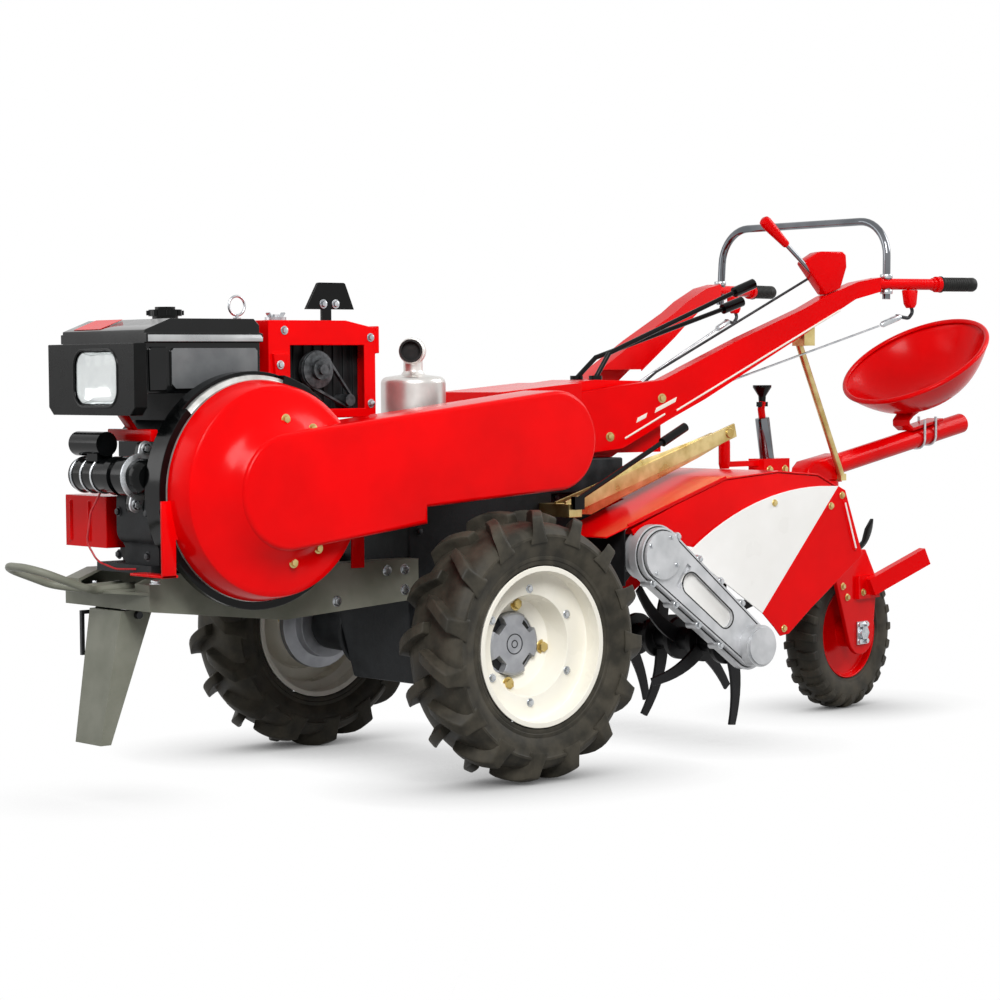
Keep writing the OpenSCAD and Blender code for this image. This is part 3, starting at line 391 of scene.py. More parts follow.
window.matrix_world = (Matrix.Translation(at(750, 0, 1014.4)) @ Matrix.Rotation(front_slope, 4, "Y")
                       @ Matrix.Translation(-at(740, 0, 0)) @ Matrix.Scale(0.05, 4, (0, 0, 1)))
settle(window, "tank_label_place", red_enamel, "chassis")

# Headlamp
# A moulded black panel, with a bright pressed bowl behind a clear fluted lens.
# The moulding is smooth, the bowl is vacuum-metallised and the lens is moulded glass.
lamp_plastic = finish_of("moulded_black_abs", "#0d0e0e", "#080909", 50, 0.28, 1.5, 0.02, shine=0.12)
dress(lamp_plastic, ["headlamp"], 7.0, 3)


def rounded(y0, z0, y1, z1, r, steps=8):
    """Points round a rectangle with round corners, in the front view."""
    return (arc(y1 - r, z0 + r, r, -90, 0, steps) + arc(y1 - r, z1 - r, r, 0, 90, steps)
            + arc(y0 + r, z1 - r, r, 90, 180, steps) + arc(y0 + r, z0 + r, r, 180, 270, steps))


lamp_y, lamp_z = 18, 891


def lamp_rings(steps):
    """A surface from rings of the lamp's outline: each step is a size and a depth in millimetres."""
    ring = rounded(-61, 837, 97, 945, 31)
    n = len(ring)
    points, faces = [], []
    for size, x in steps:
        points += [at(x, lamp_y + (y - lamp_y) * size, lamp_z + (z - lamp_z) * size) for y, z in ring]
    for k in range(0, (len(steps) - 1) * n, n):
        faces += [(k + i, k + (i + 1) % n, k + n + (i + 1) % n, k + n + i) for i in range(n)]
    faces.append(tuple(range((len(steps) - 1) * n, len(steps) * n)))
    piece = mesh_piece(points, [], faces)
    outward(piece)
    return piece


bowl_metal = finish_of("vacuum_metallised_bowl", "#eceeee", "#dfe2e2", 60, 0.1, 14.0, 0.05, metal=1.0)
bowl = lamp_rings([(1.0, 841), (0.93, 835), (0.82, 831), (0.66, 828.6), (0.45, 827.4), (0.2, 827)])
settle(bowl, "lamp_bowl", bowl_metal, "chassis", 60)
glass = bpy.data.materials.new("moulded_fluted_lens")
glass.use_nodes = True
tree = glass.node_tree
tree.nodes.clear()
# The flutes are drawn broader than the real ones, so that they show.
flute_mm = 39.48
flutes = add(tree, "TexWave", {"Vector": add(tree, "TexCoord").outputs["Object"],
                               "Scale": 2 * math.pi * 1000 / 20 / flute_mm},
             bands_direction="Y", wave_profile="SIN")
ridge = add(tree, "Bump", {"Height": flutes.outputs["Fac"], "Strength": 0.5, "Distance": 0.0015})
clear = add(tree, "BsdfPrincipled", {"Base Color": rgb("#e9efee"), "Roughness": 0.05, "IOR": 1.5,
                                     "Alpha": 0.28, "Normal": ridge.outputs["Normal"]})
add(tree, "OutputMaterial", {"Surface": clear.outputs["BSDF"]})
lens = lamp_rings([(1.0, 838), (1.0, 842), (0.97, 844.5), (0.85, 846.2), (0.6, 847.2), (0.25, 847.6)])
settle(lens, "lamp_lens", glass, "chassis", 60)
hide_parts("headlamp_lens")
bezel = bar([at(845, y, z) for y, z in rounded(-67, 831, 103, 951, 37) + [(66, 831)]], 3.2, 3)
settle(bezel, "lamp_bezel", black_enamel, "chassis", 60)
strap = outline_plate([(752, 757), (770, 757), (770, 783), (752, 783)], -59, 111, 3)
stay = outline_plate([(756, 783), (766, 783), (812, 840), (802, 846)], 10, 40, 2)
settle(joined([strap, stay]), "lamp_stay", red_enamel, "chassis")

# Radiator housing, core and fan
# A red enamelled sheet box with open sides, bolted to the engine.
# The core is a stack of matt black fins that swallow the light, with the belt's dark pulley before it.
dress(red_enamel, ["radiator_housing"], 3.0)
# The same near black serves below as painted shade in the hub slots and along the chain case's creases.
core_and_shade_black = finish_of("matt_black_fins_and_shade", "#1b1d1e", "#0d0e0f", 30, 0.55, 2.0, 0.1, shine=0.3)
dress(core_and_shade_black, ["radiator_core"], 1.0)
pulley_steel = finish_of("blackened_turned_steel", "#55585a", "#2b2d2f", 14, 0.34, 1.2, 0.04, metal=0.6)
dress(pulley_steel, ["fan_pulley"], 1.2)
left_spots = [(469, 158, 916), (462, 158, 876), (218, 150, 975), (218, 150, 830), (452, 150, 990)]
right_spots = [(218, -150, 975), (218, -150, 830), (469, -150, 900)]
box_spots = [(p, LEFT) for p in left_spots] + [(p, RIGHT) for p in right_spots]
settle(hex_heads(12, box_spots), "radiator_bolts", zinc, "chassis", 30)

# Lifting plate and ring
# A black sheet bracket bolted on top, and a plated eye bolt.
# The enamel is near black and the plating bright.
dress(black_enamel, ["lifting_plate"], 2.0)
dress(zinc, ["lifting_ring"], 1.0)
settle(hex_heads(13, [((203, 4, 1052), LEFT), ((237, 4, 1052), LEFT)]), "bracket_bolts", zinc, "chassis",
       30)

# Muffler
# A drum of aluminised sheet with rolled shoulders, which heat has dulled to a soft pale silver.
# Soot darkens the end of its pipe, and a black disc inside its mouth is painted shade in the pipe.
aluminised = finish_of("aluminised_sheet", "#e2e0dc", "#cfcdc9", 60, 0.34, 2.0, 0.03, metal=0.75)
dress(aluminised, ["muffler"], 2.0)
soot_and_shade = finish_of("soot_and_shade_pipe_end", "#1a1918", "#0d0c0c", 20, 0.8, 2.0, 0.1)
outlet = Matrix.Translation(at(26, 60, 946)) @ Matrix.Rotation(math.radians(-45), 4, "Z")
# This black disc inside the pipe's mouth is painted shade; the dark lip round it is soot.
mouth = outline_plate(arc(0, 0, 21.8, 0, 350, 35), 0, 2, 0.5)
mouth.matrix_world = outlet @ Matrix.Translation((0, 0.03, 0)) @ Matrix.Translation(-at(0, 0, 0))
settle(mouth, "exhaust_mouth", soot_and_shade, "chassis")


def spun(profile, centre, steps, sweep_deg=360.0, start_deg=0.0):
    """A shape turned about an axle along Y, from its section: pairs of radius and offset in millimetres."""
    a = math.radians(start_deg)
    ring = mesh_piece([centre + Vector((r * math.cos(a), y, r * math.sin(a))) / 1000 for r, y in profile],
                      [(i, i + 1) for i in range(len(profile) - 1)], [])
    bpy.ops.object.mode_set(mode="EDIT")
    bpy.ops.mesh.select_all(action="SELECT")
    bpy.ops.mesh.spin(steps=steps, angle=math.radians(sweep_deg), center=centre, axis=(0, 1, 0))
    bpy.ops.mesh.select_all(action="SELECT")
    bpy.ops.mesh.remove_doubles(threshold=0.00002)
    bpy.ops.object.mode_set(mode="OBJECT")
    outward(ring)
    return ring


lip_section = [(21.7, 31), (21.7, 46.8), (26.5, 46.8), (26.5, 43), (26.02, 43), (26.02, 46.2), (21.95, 46.2),
               (21.95, 31), (21.7, 31)]
lip = spun(lip_section, Vector((0, 0, 0)), 48)
lip.matrix_world = outlet
settle(lip, "exhaust_lip", soot_and_shade, "chassis", 40)

# Flywheel and its shroud
# A turned iron wheel with a bright rim, inside a black sheet ring that is spot-welded to the guard.
# The turned face is an even pale grey; the near-black ring hides it except in a gap at the top front, and on
# the lower rim this black is painted shade.
turned_iron = finish_of("turned_cast_iron", "#d6d6d2", "#b4b4b0", 30, 0.34, 1.5, 0.05, metal=0.55)
dress(turned_iron, ["flywheel"], 1.5)
fly_x, fly_z = 594, 653
shade_sheets = []
back = [(243.5, 196), (249, 196), (250, 197), (250, 231), (249, 232), (243.5, 232), (243.5, 196)]
edge = [(243.5, 230), (249, 230), (250, 231), (250, 250), (249, 251), (234, 251), (234, 249), (243.5, 249),
        (243.5, 230)]
# The sheet leaves the pale rim bare only from 44 to 106 degrees; over the lower rim it stands as painted
# shade.
for section, start, sweep in ((back, -25, 200), (edge, -190, 234), (edge, 106, 68)):
    ring = spun(section, at(fly_x, 0, fly_z), 120, sweep, start)
    alone(ring)
    bpy.ops.object.mode_set(mode="EDIT")
    bpy.ops.mesh.select_all(action="SELECT")
    bpy.ops.mesh.fill_holes(sides=12)
    bpy.ops.object.mode_set(mode="OBJECT")
    shade_sheets.append(ring)
for a in (-10, 120, 160):
    c, s = math.cos(math.radians(a)), math.sin(math.radians(a))
    tab = [(fly_x + r * c + t * s, fly_z + r * s - t * c) for r, t in
           ((226, -12), (252, -12), (252, 12), (226, 12))]
    shade_sheets.append(outline_plate(tab, 246, 250, 0.8))
settle(joined(shade_sheets), "flywheel_shade_shroud", black_enamel, "chassis")

# Belt guard
# Pressed from red sheet: a disc over the flywheel that rises to a deep pan over the belts.
# The press leaves broad round edges, which carry the long highlights, and the back is open.
disc_section = [(0, 252), (230.5, 252), (232, 254), (222, 308), (219, 314), (213, 317.4), (203, 319),
                (186, 321.5), (168, 327), (152, 335), (138, 345), (128, 355), (120, 361), (0, 361)]
disc = spun(disc_section, at(fly_x, 0, fly_z), 128)
front, rear = (fly_x, fly_z, 122), (-146, 742, 112)
lower = [(232, 608), (232, 572)]
way = math.degrees(math.atan2(rear[1] - front[1], rear[0] - front[0]))
lap = math.degrees(math.acos((front[2] - rear[2]) / math.hypot(rear[0] - front[0], rear[1] - front[1])))
pan_line = arc(*front, way + lap - 360, way - lap, 56) + arc(*rear, way - lap, way + lap, 44) + lower
pan = outline_plate(pan_line, 252, 368, 0)
pick(pan, "EDGE", lambda mid, way: abs(mid.y - 0.368) < 0.0001)
bpy.ops.mesh.bevel(offset=0.011, segments=5, profile=0.5)
bpy.ops.object.mode_set(mode="OBJECT")
union = disc.modifiers.new("union", "BOOLEAN")
union.operation = "UNION"
union.solver = "EXACT"
union.object = pan
alone(disc)
bpy.ops.object.modifier_apply(modifier="union")
bpy.data.objects.remove(pan)
pick(disc, "FACE", lambda mid, way: way.y < -0.99 and mid.y < 0.2525)
bpy.ops.mesh.delete(type="FACE")
bpy.ops.object.mode_set(mode="OBJECT")
wall = disc.modifiers.new("wall", "SOLIDIFY")
wall.thickness = 0.003
wall.offset = -1
alone(disc)
bpy.ops.object.modifier_apply(modifier="wall")


def folded(low, high, edge_mm=1.0):
    """A folded strip or bar of sheet from corner to corner, with softened edges."""
    bpy.ops.object.select_all(action="DESELECT")
    bpy.ops.mesh.primitive_cube_add(size=1, location=(at(*low) + at(*high)) / 2)
    strip = bpy.context.object
    strip.scale = at(*high) - at(*low)
    alone(strip)
    bpy.ops.object.transform_apply(location=True, rotation=True, scale=True)
    bpy.ops.object.mode_set(mode="EDIT")
    bpy.ops.mesh.select_all(action="SELECT")
    bpy.ops.mesh.bevel(offset=edge_mm / 1000, segments=2)
    bpy.ops.object.mode_set(mode="OBJECT")
    return strip


legs = [folded((808, 140, 482.5), (846, 262, 488)), folded((812, 256, 482.5), (846, 262, 640)),
        folded((792, 254, 560), (816, 260, 640)), folded((256, 165, 470), (290, 170, 560)),
        folded((256, 165, 556), (290, 262, 568)), folded((-80, 130, 627), (-20, 262, 650))]
guard = settle(joined([disc] + legs), "pressed_guard", red_enamel, "chassis", 32)
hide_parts("belt_guard")
chromate = finish_of("yellow_chromated_zinc", "#d6c389", "#b39a5a", 45, 0.3, 1.5, 0.03, metal=0.8)
rim_spots = [((fly_x + 150 * math.cos(a), 336, fly_z + 150 * math.sin(a)), LEFT)
             for a in map(math.radians, (93, 121, -99, -126))]
settle(hex_heads(14, rim_spots), "guard_bolts", chromate, "chassis", 30)

# Drive wheels
# Lugged tyres of black rubber on pressed rims in warm white enamel, with a plated hub cap.
# Rubber is dull, a little brown with dust, and smoother on the side wall.
rubber = finish_of("vulcanised_rubber", "#47433a", "#2c2a24", 45, 0.55, 1.8, 0.1, shine=0.16)
half_track, wheel_r = 404, 298
side_wall = [(177.6, 60), (180, 65.5), (186, 67), (189, 66.4), (191, 68.6), (196, 69), (199, 68.4), (212, 75),
             (226, 79), (238, 80.2), (241, 82.4), (246, 82.2), (248, 79.6), (256, 76), (263, 69), (268.5, 58),
             (271.4, 42), (272, 20)]
section = side_wall + [(r, -y) for r, y in reversed(side_wall)] + [side_wall[0]]


def crown(y):
    """Radius of the lug tops across the tyre, from the middle to the shoulder."""
    away = abs(y)
    return wheel_r if away < 45 else wheel_r - 13 * ((away - 45) / 35) ** 1.7


def lug(side):
    """One slanted bar of the tread, at the top of the wheel: a block with a broad foot."""
    bpy.ops.object.select_all(action="DESELECT")
    bpy.ops.mesh.primitive_cube_add(size=2)
    piece = bpy.context.object
    bpy.ops.object.mode_set(mode="EDIT")
    bpy.ops.mesh.subdivide(number_cuts=5)
    bpy.ops.object.mode_set(mode="OBJECT")
    for point in piece.data.vertices:
        u, v, w = point.co
        along, up = (u + 1) / 2, (w + 1) / 2
        y = -4 + (88 - 7 * up * up) * along
        across = 28 - 52 * along + 5 * math.sin(math.pi * along)
        half = 12.5 + 11 * (1 - up) ** 2 + 2.5 * along
        top = crown(y) - 3 * (1 - along) ** 6 * 2
        low = 228 if along > 0.9 else 240
        radius = low + (top - low) * up
        turn = -(across + v * half) / radius
        point.co = (radius * math.sin(turn) / 1000, side * y / 1000, radius * math.cos(turn) / 1000)
    outward(piece)
    bevelled(piece, 3.2, 2, 40)
    return piece


for hand, name in ((1, "left"), (-1, "right")):
    middle = at(0, hand * half_track, wheel_r)
    lugs = []
    for side in (1, -1):
        first = 0 if side == hand else 12
        turns = [Matrix.Rotation(math.radians(first + 24 * i), 4, "Y") for i in range(15)]
        lugs.append(copied(lug(side), [Matrix.Translation(middle) @ turn for turn in turns]))
    tyre = settle(joined([spun(section, middle, 120)] + lugs), name + "_lugged_tyre", rubber, name + "_wheel",
                  38)
    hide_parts(name + "_tyre")

# Rims and hubs
# The rim is pressed in two halves and bolted to the hub, whose slotted cap is zinc-plated.
# White enamel is glossy and warm, with a soft skin.
rim_white = finish_of("white_rim_enamel", "#f6f3e8", "#f0ecdf", 120, 0.28, 5.0, 0.02, shine=0.25)
dress(rim_white, ["left_rim", "right_rim"], 1.5)
cap_zinc = finish_of("dull_zinc_cap", "#a9abb0", "#94969b", 40, 0.42, 1.5, 0.03, metal=0.5)
dress(cap_zinc, ["left_hub", "right_hub"], 1.2)


def bolt_ring(x, z, r, y, first_deg, count, out):
    """Places for bolts, evenly round a circle in the side view, with their outward axis."""
    last_deg = first_deg + 360 - 360 / count
    return [((px, y, pz), out) for px, pz in arc(x, z, r, first_deg, last_deg, count - 1)]


for hand, name in ((1, "left"), (-1, "right")):
    nuts = bolt_ring(0, wheel_r, 89, hand * 366, 8, 4, (0, hand, 0))
    settle(hex_heads(20, nuts), name + "_wheel_nuts", chromate, name + "_wheel", 30)
    small = bolt_ring(0, wheel_r, 125, hand * 426, 30, 6, (0, hand, 0))
    settle(hex_heads(12, small), name + "_rim_bolts", zinc, name + "_wheel", 30)
    rings = [bar([at(x, hand * 376.2, z) for x, z in arc(0, wheel_r, r, 0, 360, 36)], 1.2, 2)
             for r in (8, 22)]
    settle(joined(rings), name + "_cap_rings", forged_steel, name + "_wheel", 60)
    # A thin black disc at the floor of the cap's slots is painted shade, so that the slots read as dark
    # holes.
    y0, y1 = sorted((hand * 356.2, hand * 357))
    slot_shade = outline_plate(arc(0, wheel_r, 66, 0, 354, 59), y0, y1, 0.2)
    settle(slot_shade, name + "_hub_slot_shade", core_and_shade_black, name + "_wheel")

# Handlebars
# Red pressed channel arms on a sheet tunnel, with a rolled bead along each arm's outer face.
# Blank plates are in the warm white of the rims, and so are the beads, whose pale line is partly a stripe and
# partly a painted highlight along each arm.
dress(red_enamel, ["console", "left_arm", "right_arm"], 3.0)
splay = math.radians(13.33)


def arm_y(x):
    """How far the middle of an arm lies from the machine's middle plane, in millimetres."""
    return 100 + (-500 - x) * math.tan(splay)


beads = []
for hand in (1, -1):
    for ends in (((-700, 800), (-1160, 1042)), ((-560, 735), (-668, 792))):
        beads.append(bar([at(x, hand * (arm_y(x) + 22.4), z) for x, z in ends], 2.6, 2))
settle(joined(beads), "arm_highlight_beads", rim_white, "chassis", 60)
rise = 0.46
blanks = []
for hand in (1, -1):
    for x, long in ((-590, 26), (-640, 56)):
        z = 772 + (-590 - x) * rise
        plate = outline_plate([(x, z), (x - long, z + long * rise), (x - long - 4, z + long * rise + 12),
                               (x - 4, z + 12)], 0, 1.2, 0.3)
        for point in plate.data.vertices:
            face_y = arm_y(point.co.x * 1000 - axle_x) + 22.8
            point.co.y = hand * (point.co.y + face_y / 1000)
        outward(plate)
        blanks.append(plate)
settle(joined(blanks), "arm_blank_plates", rim_white, "chassis")
pivots = [((x, hand * (arm_y(x) + 23), z), (0.23, hand, 0))
          for hand in (1, -1) for x, z in ((-520, 740), (-660, 830))]
settle(hex_heads(14, pivots), "arm_bolts", chromate, "chassis", 30)

# Hand grips
# Moulded rubber sleeves pushed on the tubes, with a collar and close ribs for the palm.
# Rubber from a mould is dark, with a low soft sheen.


def turned_bar(profile, a, b, steps=28):
    """A turned piece between two places: pairs of radius and distance in millimetres along it."""
    way = (b - a).normalized()
    piece = spun(profile, Vector((0, 0, 0)), steps)
    piece.matrix_world = Matrix.Translation(a) @ way.to_track_quat("Y", "Z").to_matrix().to_4x4()
    alone(piece)
    bpy.ops.object.transform_apply(location=True, rotation=True, scale=True)
    return piece


ribs = [(14.2, 0), (19.5, 0), (21, 2), (21, 5), (18, 7)]
for i in range(11):
    ribs += [(17.9, 10 + i * 7), (17.9, 14 + i * 7), (16.9, 15 + i * 7), (16.9, 16 + i * 7)]
ribs += [(17.9, 90), (18, 104), (15.5, 109), (9, 111), (0, 111)]
tube_z = 1109
grips = [turned_bar(ribs, at(-1474, hand * 330.8, tube_z), at(-1581, hand * 356.1, tube_z))
         for hand in (1, -1)]
grip_rubber = finish_of("moulded_grip_rubber", "#232422", "#131312", 20, 0.5, 1.5, 0.06, shine=0.15)
grip = settle(joined(grips), "ribbed_grips", grip_rubber, "chassis", 40)
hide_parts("grips")

# Hoop
# A tube in mirror chrome, bent over the handles and nutted below them.
# Its base colour is darkened well below real chrome, as painted shade for the dark surroundings that chrome
# mirrors, so that it reads as a clear grey with hard edges.
chrome = finish_of("chrome_plate", "#7c7e82", "#66696d", 90, 0.05, 3.0, 0.004, metal=1.0)
foot_x, foot_y = -1316, 293.3
arch = [at(foot_x, foot_y, 1071), at(-1325, 288, 1270)]
arch += [Vector((p.x, -p.y, p.z)) for p in reversed(arch)]
hoop = settle(bar(bent_path(arch, 92), 10, 6), "chrome_hoop", chrome, "chassis", 60)
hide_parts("hoop")
collar = [(10, 0), (15, 0), (16, 1.5), (16, 9), (15, 10.5), (10, 10.5)]
collars = [turned_bar(collar, at(foot_x, hand * foot_y, z), at(foot_x, hand * foot_y, z + 10))
           for hand in (1, -1) for z in (1084, 1123)]
settle(joined(collars), "hoop_collars", zinc, "chassis", 40)

# Main clutch lever
# A chromed rod with a red moulded hand piece, flared towards its end.
# A thin dark link runs from its foot down to the console.
foot, top = at(-1095, 252, 1130), at(-940, 230, 1262)
rod = bar([foot.lerp(top, -0.16), foot.lerp(top, 0.62)], 5.5, 4)
settle(rod, "clutch_rod", chrome, "chassis", 60)
hold = turned_bar([(0, 0), (8, 0), (9.5, 3), (10.5, 20), (14, 62), (15, 84), (13, 92), (7, 96), (0, 96)],
                  foot.lerp(top, 0.545), top)
settle(hold, "clutch_hand_piece", red_enamel, "chassis", 40)
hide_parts("clutch_lever")
link = bar([at(-1126, 236, 1136), at(-735, 62, 893), at(-690, 58, 862)], 3.2, 3)
settle(link, "clutch_link", forged_steel, "chassis", 60)

# Lever shroud
# A box of folded red sheet on the left arm, wide at its top, where the clutch lever comes out.
# It has the enamel of the arm.
flare = [(-1066, 1158), (-1074, 1167), (-1104, 1185), (-1118, 1188), (-1176, 1188), (-1186, 1180),
         (-1188, 1150), (-1170, 1097), (-1128, 1080)]
shroud = outline_plate([((x + 500) / math.cos(splay), z) for x, z in flare], -20, 20, 5, 3)
shroud.matrix_world = (Matrix.Translation(at(-500, 100, 0)) @ Matrix.Rotation(-splay, 4, "Z")
                       @ Matrix.Translation(-at(0, 0, 0)))
settle(shroud, "flared_shroud", red_enamel, "chassis")
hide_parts("lever_shroud")

# Steering levers
# Red folded brackets under the tubes hold blackened hooks, with a turnbuckle and a plain drawn rod on each.
# Turnbuckles and rods are zinc-plated, and bright beside the dark hooks.
bracket = [(-20, -14.4), (20, -14.4), (13, -50), (4, -60), (-8, -60), (-15, -50)]
buckle = [(0, 0), (5, 0), (8, 5), (8, 58), (5, 64), (0, 64)]
plates, hooks, buckles, rods = [], [], [], []
x, z = -1386, tube_z
y = arm_y(x)
for hand in (1, -1):
    plates.append(outline_plate([(x + dx, z + dz) for dx, dz in bracket], hand * y - 11, hand * y + 11, 3))
    crook = [at(x, hand * y, z - 50), at(x - 12, hand * y, z - 70), at(x + 4, hand * (y - 1), z - 86),
             at(x + 42, hand * (y - 9), z - 80)]
    hooks.append(bar(bent_path(crook, 12), 4.6, 4))
    a, b = at(x + 28, hand * (y - 6), z - 81), at(x + 92, hand * (y - 21), z - 105)
    buckles.append(turned_bar(buckle, a, b))
    rods.append(bar([b, at(-700, hand * 98, 805)], 2.6, 3))
brackets = settle(joined(plates), "steering_brackets", red_enamel, "chassis")
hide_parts("steering_levers")
settle(joined(hooks), "steering_hooks", forged_steel, "chassis", 60)
settle(joined(buckles + rods), "pull_rods", zinc, "chassis", 50)

# Shift levers and tiller levers
# Black enamelled rods with moulded knobs, and flat bars in gold-coloured chromated zinc.
# The chromate is uneven, so that the gold changes softly along the bars.
dress(black_enamel, ["shift_levers"], 2.0)
dress(chromate, ["tiller_lever"], 1.5)
blade = [(-310, 592), (-564, 682), (-639, 697), (-789, 730), (-918, 752), (-930, 744), (-926, 730),
         (-789, 683), (-639, 637), (-493, 594), (-392, 562), (-330, 566)]
plate = outline_plate(blade, 0, 3, 0.8)
# The front end of the plate stands further out than its rear end.
for point in plate.data.vertices:
    point.co.y += 0.2085 + (point.co.x - 0.1575) * 0.1175
settle(plate, "tiller_lever_plate", chromate, "chassis")

# Tiller hood and panels
# A rolled red hood over the rotor, with white sheet ends, red rear flaps and a dark apron in front.
# White enamel stays bright in the shade, and the apron's primer is dull.
dress(red_enamel, ["hood", "left_rear_panel", "right_rear_panel"], 1.5)
panel_white = finish_of("white_panel_enamel", "#fbfaf7", "#f6f5f1", 120, 0.3, 5.0, 0.02, shine=0.2)
dress(panel_white, ["left_side_panel", "right_side_panel"], 1.2)
apron_black = finish_of("dark_sheet_primer", "#222223", "#151516", 60, 0.5, 2.5, 0.06, shine=0.15)
dress(apron_black, ["hood_apron"], 1.0)
wall_line = [(-412, 530), (-560, 583), (-720, 634), (-900, 646), (-1040, 634), (-1122, 596), (-1140, 540),
             (-1100, 500), (-760, 478), (-640, 474), (-560, 490), (-470, 508), (-420, 516)]
walls = [outline_plate(wall_line, y0, y0 + 4, 0.8) for y0 in (311, -315)]
settle(joined(walls), "hood_side_walls", red_enamel, "chassis")
seams = [bar([at(-400, s * 316, 541), at(-560, s * 316, 592), at(-720, s * 316, 642)], 3, 2) for s in (1, -1)]
settle(joined(seams), "hood_seams", red_enamel, "chassis", 60)
panel_spots = both_sides([(-1080, 322, 560), (-912, 322, 268), (-1120, 322, 585), (-880, 322, 575)])
settle(hex_heads(11, panel_spots), "panel_bolts", chromate, "chassis", 30)
# A thin white bar along each red flap's fold is a painted highlight of the fold.
flap_highlights = [bar([at(-1127, s * 326.6, 566), at(-1166, s * 326.6, 452)], 2.2, 2) for s in (1, -1)]
settle(joined(flap_highlights), "flap_painted_highlights", panel_white, "chassis", 60)

# Chain case
# A die-cast aluminium case, bead blasted to an even silver grey, bolted round its edge.
# A white enamelled plate lies in its long pocket.
cast_alloy = finish_of("blasted_cast_alloy", "#cdced0", "#b7b9bb", 50, 0.42, 1.2, 0.06, metal=0.45)
dress(cast_alloy, ["chain_case"], 3.0, 3)
top, low = Vector((-460, 471)), Vector((-762, 241))
along = (low - top).normalized()
across = Vector((-along.y, along.x))
ring_spots = []
for d in (20, 110, 200, 290):
    for s in (-1, 1):
        p = top + along * d + across * s * (66 - d * 0.022)
        ring_spots.append(((p.x, 362, p.y), LEFT))
settle(hex_heads(11, ring_spots), "case_bolts", zinc, "chassis", 30)
caps = bolt_ring(low.x, low.y, 38, 392, 20, 3, LEFT) + bolt_ring(top.x, top.y, 47, 374, 30, 4, LEFT)
settle(hex_heads(7, caps), "case_screws", zinc, "chassis", 30)
a, b = top + along * 118, top + along * 262
pocket = outline_plate(belt_outline(a.x, a.y, 25.6, b.x, b.y, 23.6), 354.1, 356, 0.4)
settle(pocket, "case_plate", panel_white, "chassis")
# Thin black loops round the pocket's rim and along the case's edges are partly seams and partly painted shade
# in the creases.
face_y, rim_y = 365.6, 350.4
crease_shades = []
for d0, d1, r0, r1, y in ((118, 262, 27, 25, face_y), (0, 379.6, 58, 46, face_y), (0, 379.6, 65, 53, rim_y)):
    p, q = top + along * d0, top + along * d1
    loop = belt_outline(p.x, p.y, r0, q.x, q.y, r1)
    crease_shades.append(bar([at(x, y, z) for x, z in loop + loop[:1]], 1.7, 2))
settle(joined(crease_shades), "case_crease_shade_lines", core_and_shade_black, "chassis", 60)

# Rotor and tines
# Forged spring steel blades in black primer, bolted to discs on the shaft.
# The primer is a dull even black that hides the grain of the forging.
primer = finish_of("black_primer_on_forgings", "#18181a", "#0c0c0d", 40, 0.42, 2.5, 0.1, shine=0.2)
dress(primer, ["rotor_shaft", "tines"], 1.0)

# Tail beam, depth screw and crank
# A red welded beam with the steering head, and a bright screw sleeve with a crank.
# The dark screw tube stands in a red clamp, and its crank ends in a knob.
dress(red_enamel, ["tail_beam", "crank_handle", "seat_tube", "seat_bracket"], 2.0)
dress(black_enamel, ["depth_screw"], 1.2)
low_end, high_end = at(-1194, 0, 640), at(-1172, 0, 772)
sleeve_line = [(17.2, 0), (18.4, 0), (18.6, 2), (18.6, 118), (18.2, 121), (9, 123), (0, 123)]
sleeve = turned_bar(sleeve_line, low_end.lerp(high_end, 0.1), high_end)
settle(sleeve, "screw_sleeve", chrome, "chassis", 40)
elbow = bar(bent_path([high_end + Vector((0, 0, 0.001)), at(-1168, 0, 796), at(-1172, 0, 814)], 12), 9.5, 4)
settle(elbow, "screw_elbow", red_enamel, "chassis", 60)
clamp_line = [(-1444, 606), (-1318, 602), (-1306, 612), (-1312, 640), (-1330, 656), (-1444, 676)]
settle(outline_plate(clamp_line, -32, 32, 7, 3), "seat_tube_clamp", red_enamel, "chassis")
beam_spots = both_sides([(-1170, 28, 640), (-1226, 28, 640), (-1140, 35, 570), (-1340, 35, 560)])
settle(hex_heads(13, beam_spots), "beam_bolts", chromate, "chassis", 30)

# Seat
# A round dish pressed from sheet, with a rolled rim, on a spring strip held by two U-bolts.
# It has the red enamel of the guard inside and out.
seat_x, seat_z, slope = -1767, 914, math.radians(32.5)
deep, flat_r, rim_r = 108, 40, 203
dish = [(0, -deep)]
for r in range(24, 200, 8):
    dish.append((r, -deep + (deep - 2) * max(0, (r - flat_r) / (rim_r - flat_r)) ** 2.25))
dish.append((rim_r, -2))
rolled = [math.radians(20 * i) for i in range(1, 15)]
dish += [(rim_r - 1 + 4 * math.sin(a), 2 - 4 * math.cos(a)) for a in rolled]
seat = spun(dish, Vector((0, 0, 0)), 96)
wall = seat.modifiers.new("wall", "SOLIDIFY")
wall.thickness = 0.003
wall.offset = 1
seat.matrix_world = (Matrix.Translation(at(seat_x, 0, seat_z)) @ Matrix.Rotation(slope, 4, "Y")
                     @ Matrix.Rotation(math.radians(90), 4, "X"))
alone(seat)
bpy.ops.object.modifier_apply(modifier="wall")
seat = settle(seat, "pressed_seat", red_enamel, "chassis", 50)
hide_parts("seat_pan")
loops = []
for x in (-1770, -1815):
    z = 615.8 + (-1300 - x) * 0.1972
    u_shape = [at(x, 30, z + 48), at(x, 30, z - 28), at(x, -30, z - 28), at(x, -30, z + 48)]
    loops.append(bar(bent_path(u_shape, 26), 4, 3))
settle(joined(loops), "seat_u_bolts", zinc, "chassis", 60)
up_x, up_z = math.sin(slope), math.cos(slope)
dome = [((seat_x - 104 * up_x + d * up_z, 0, seat_z - 104 * up_z - d * up_x), (up_x, 0, up_z))
        for d in (-18, 18)]
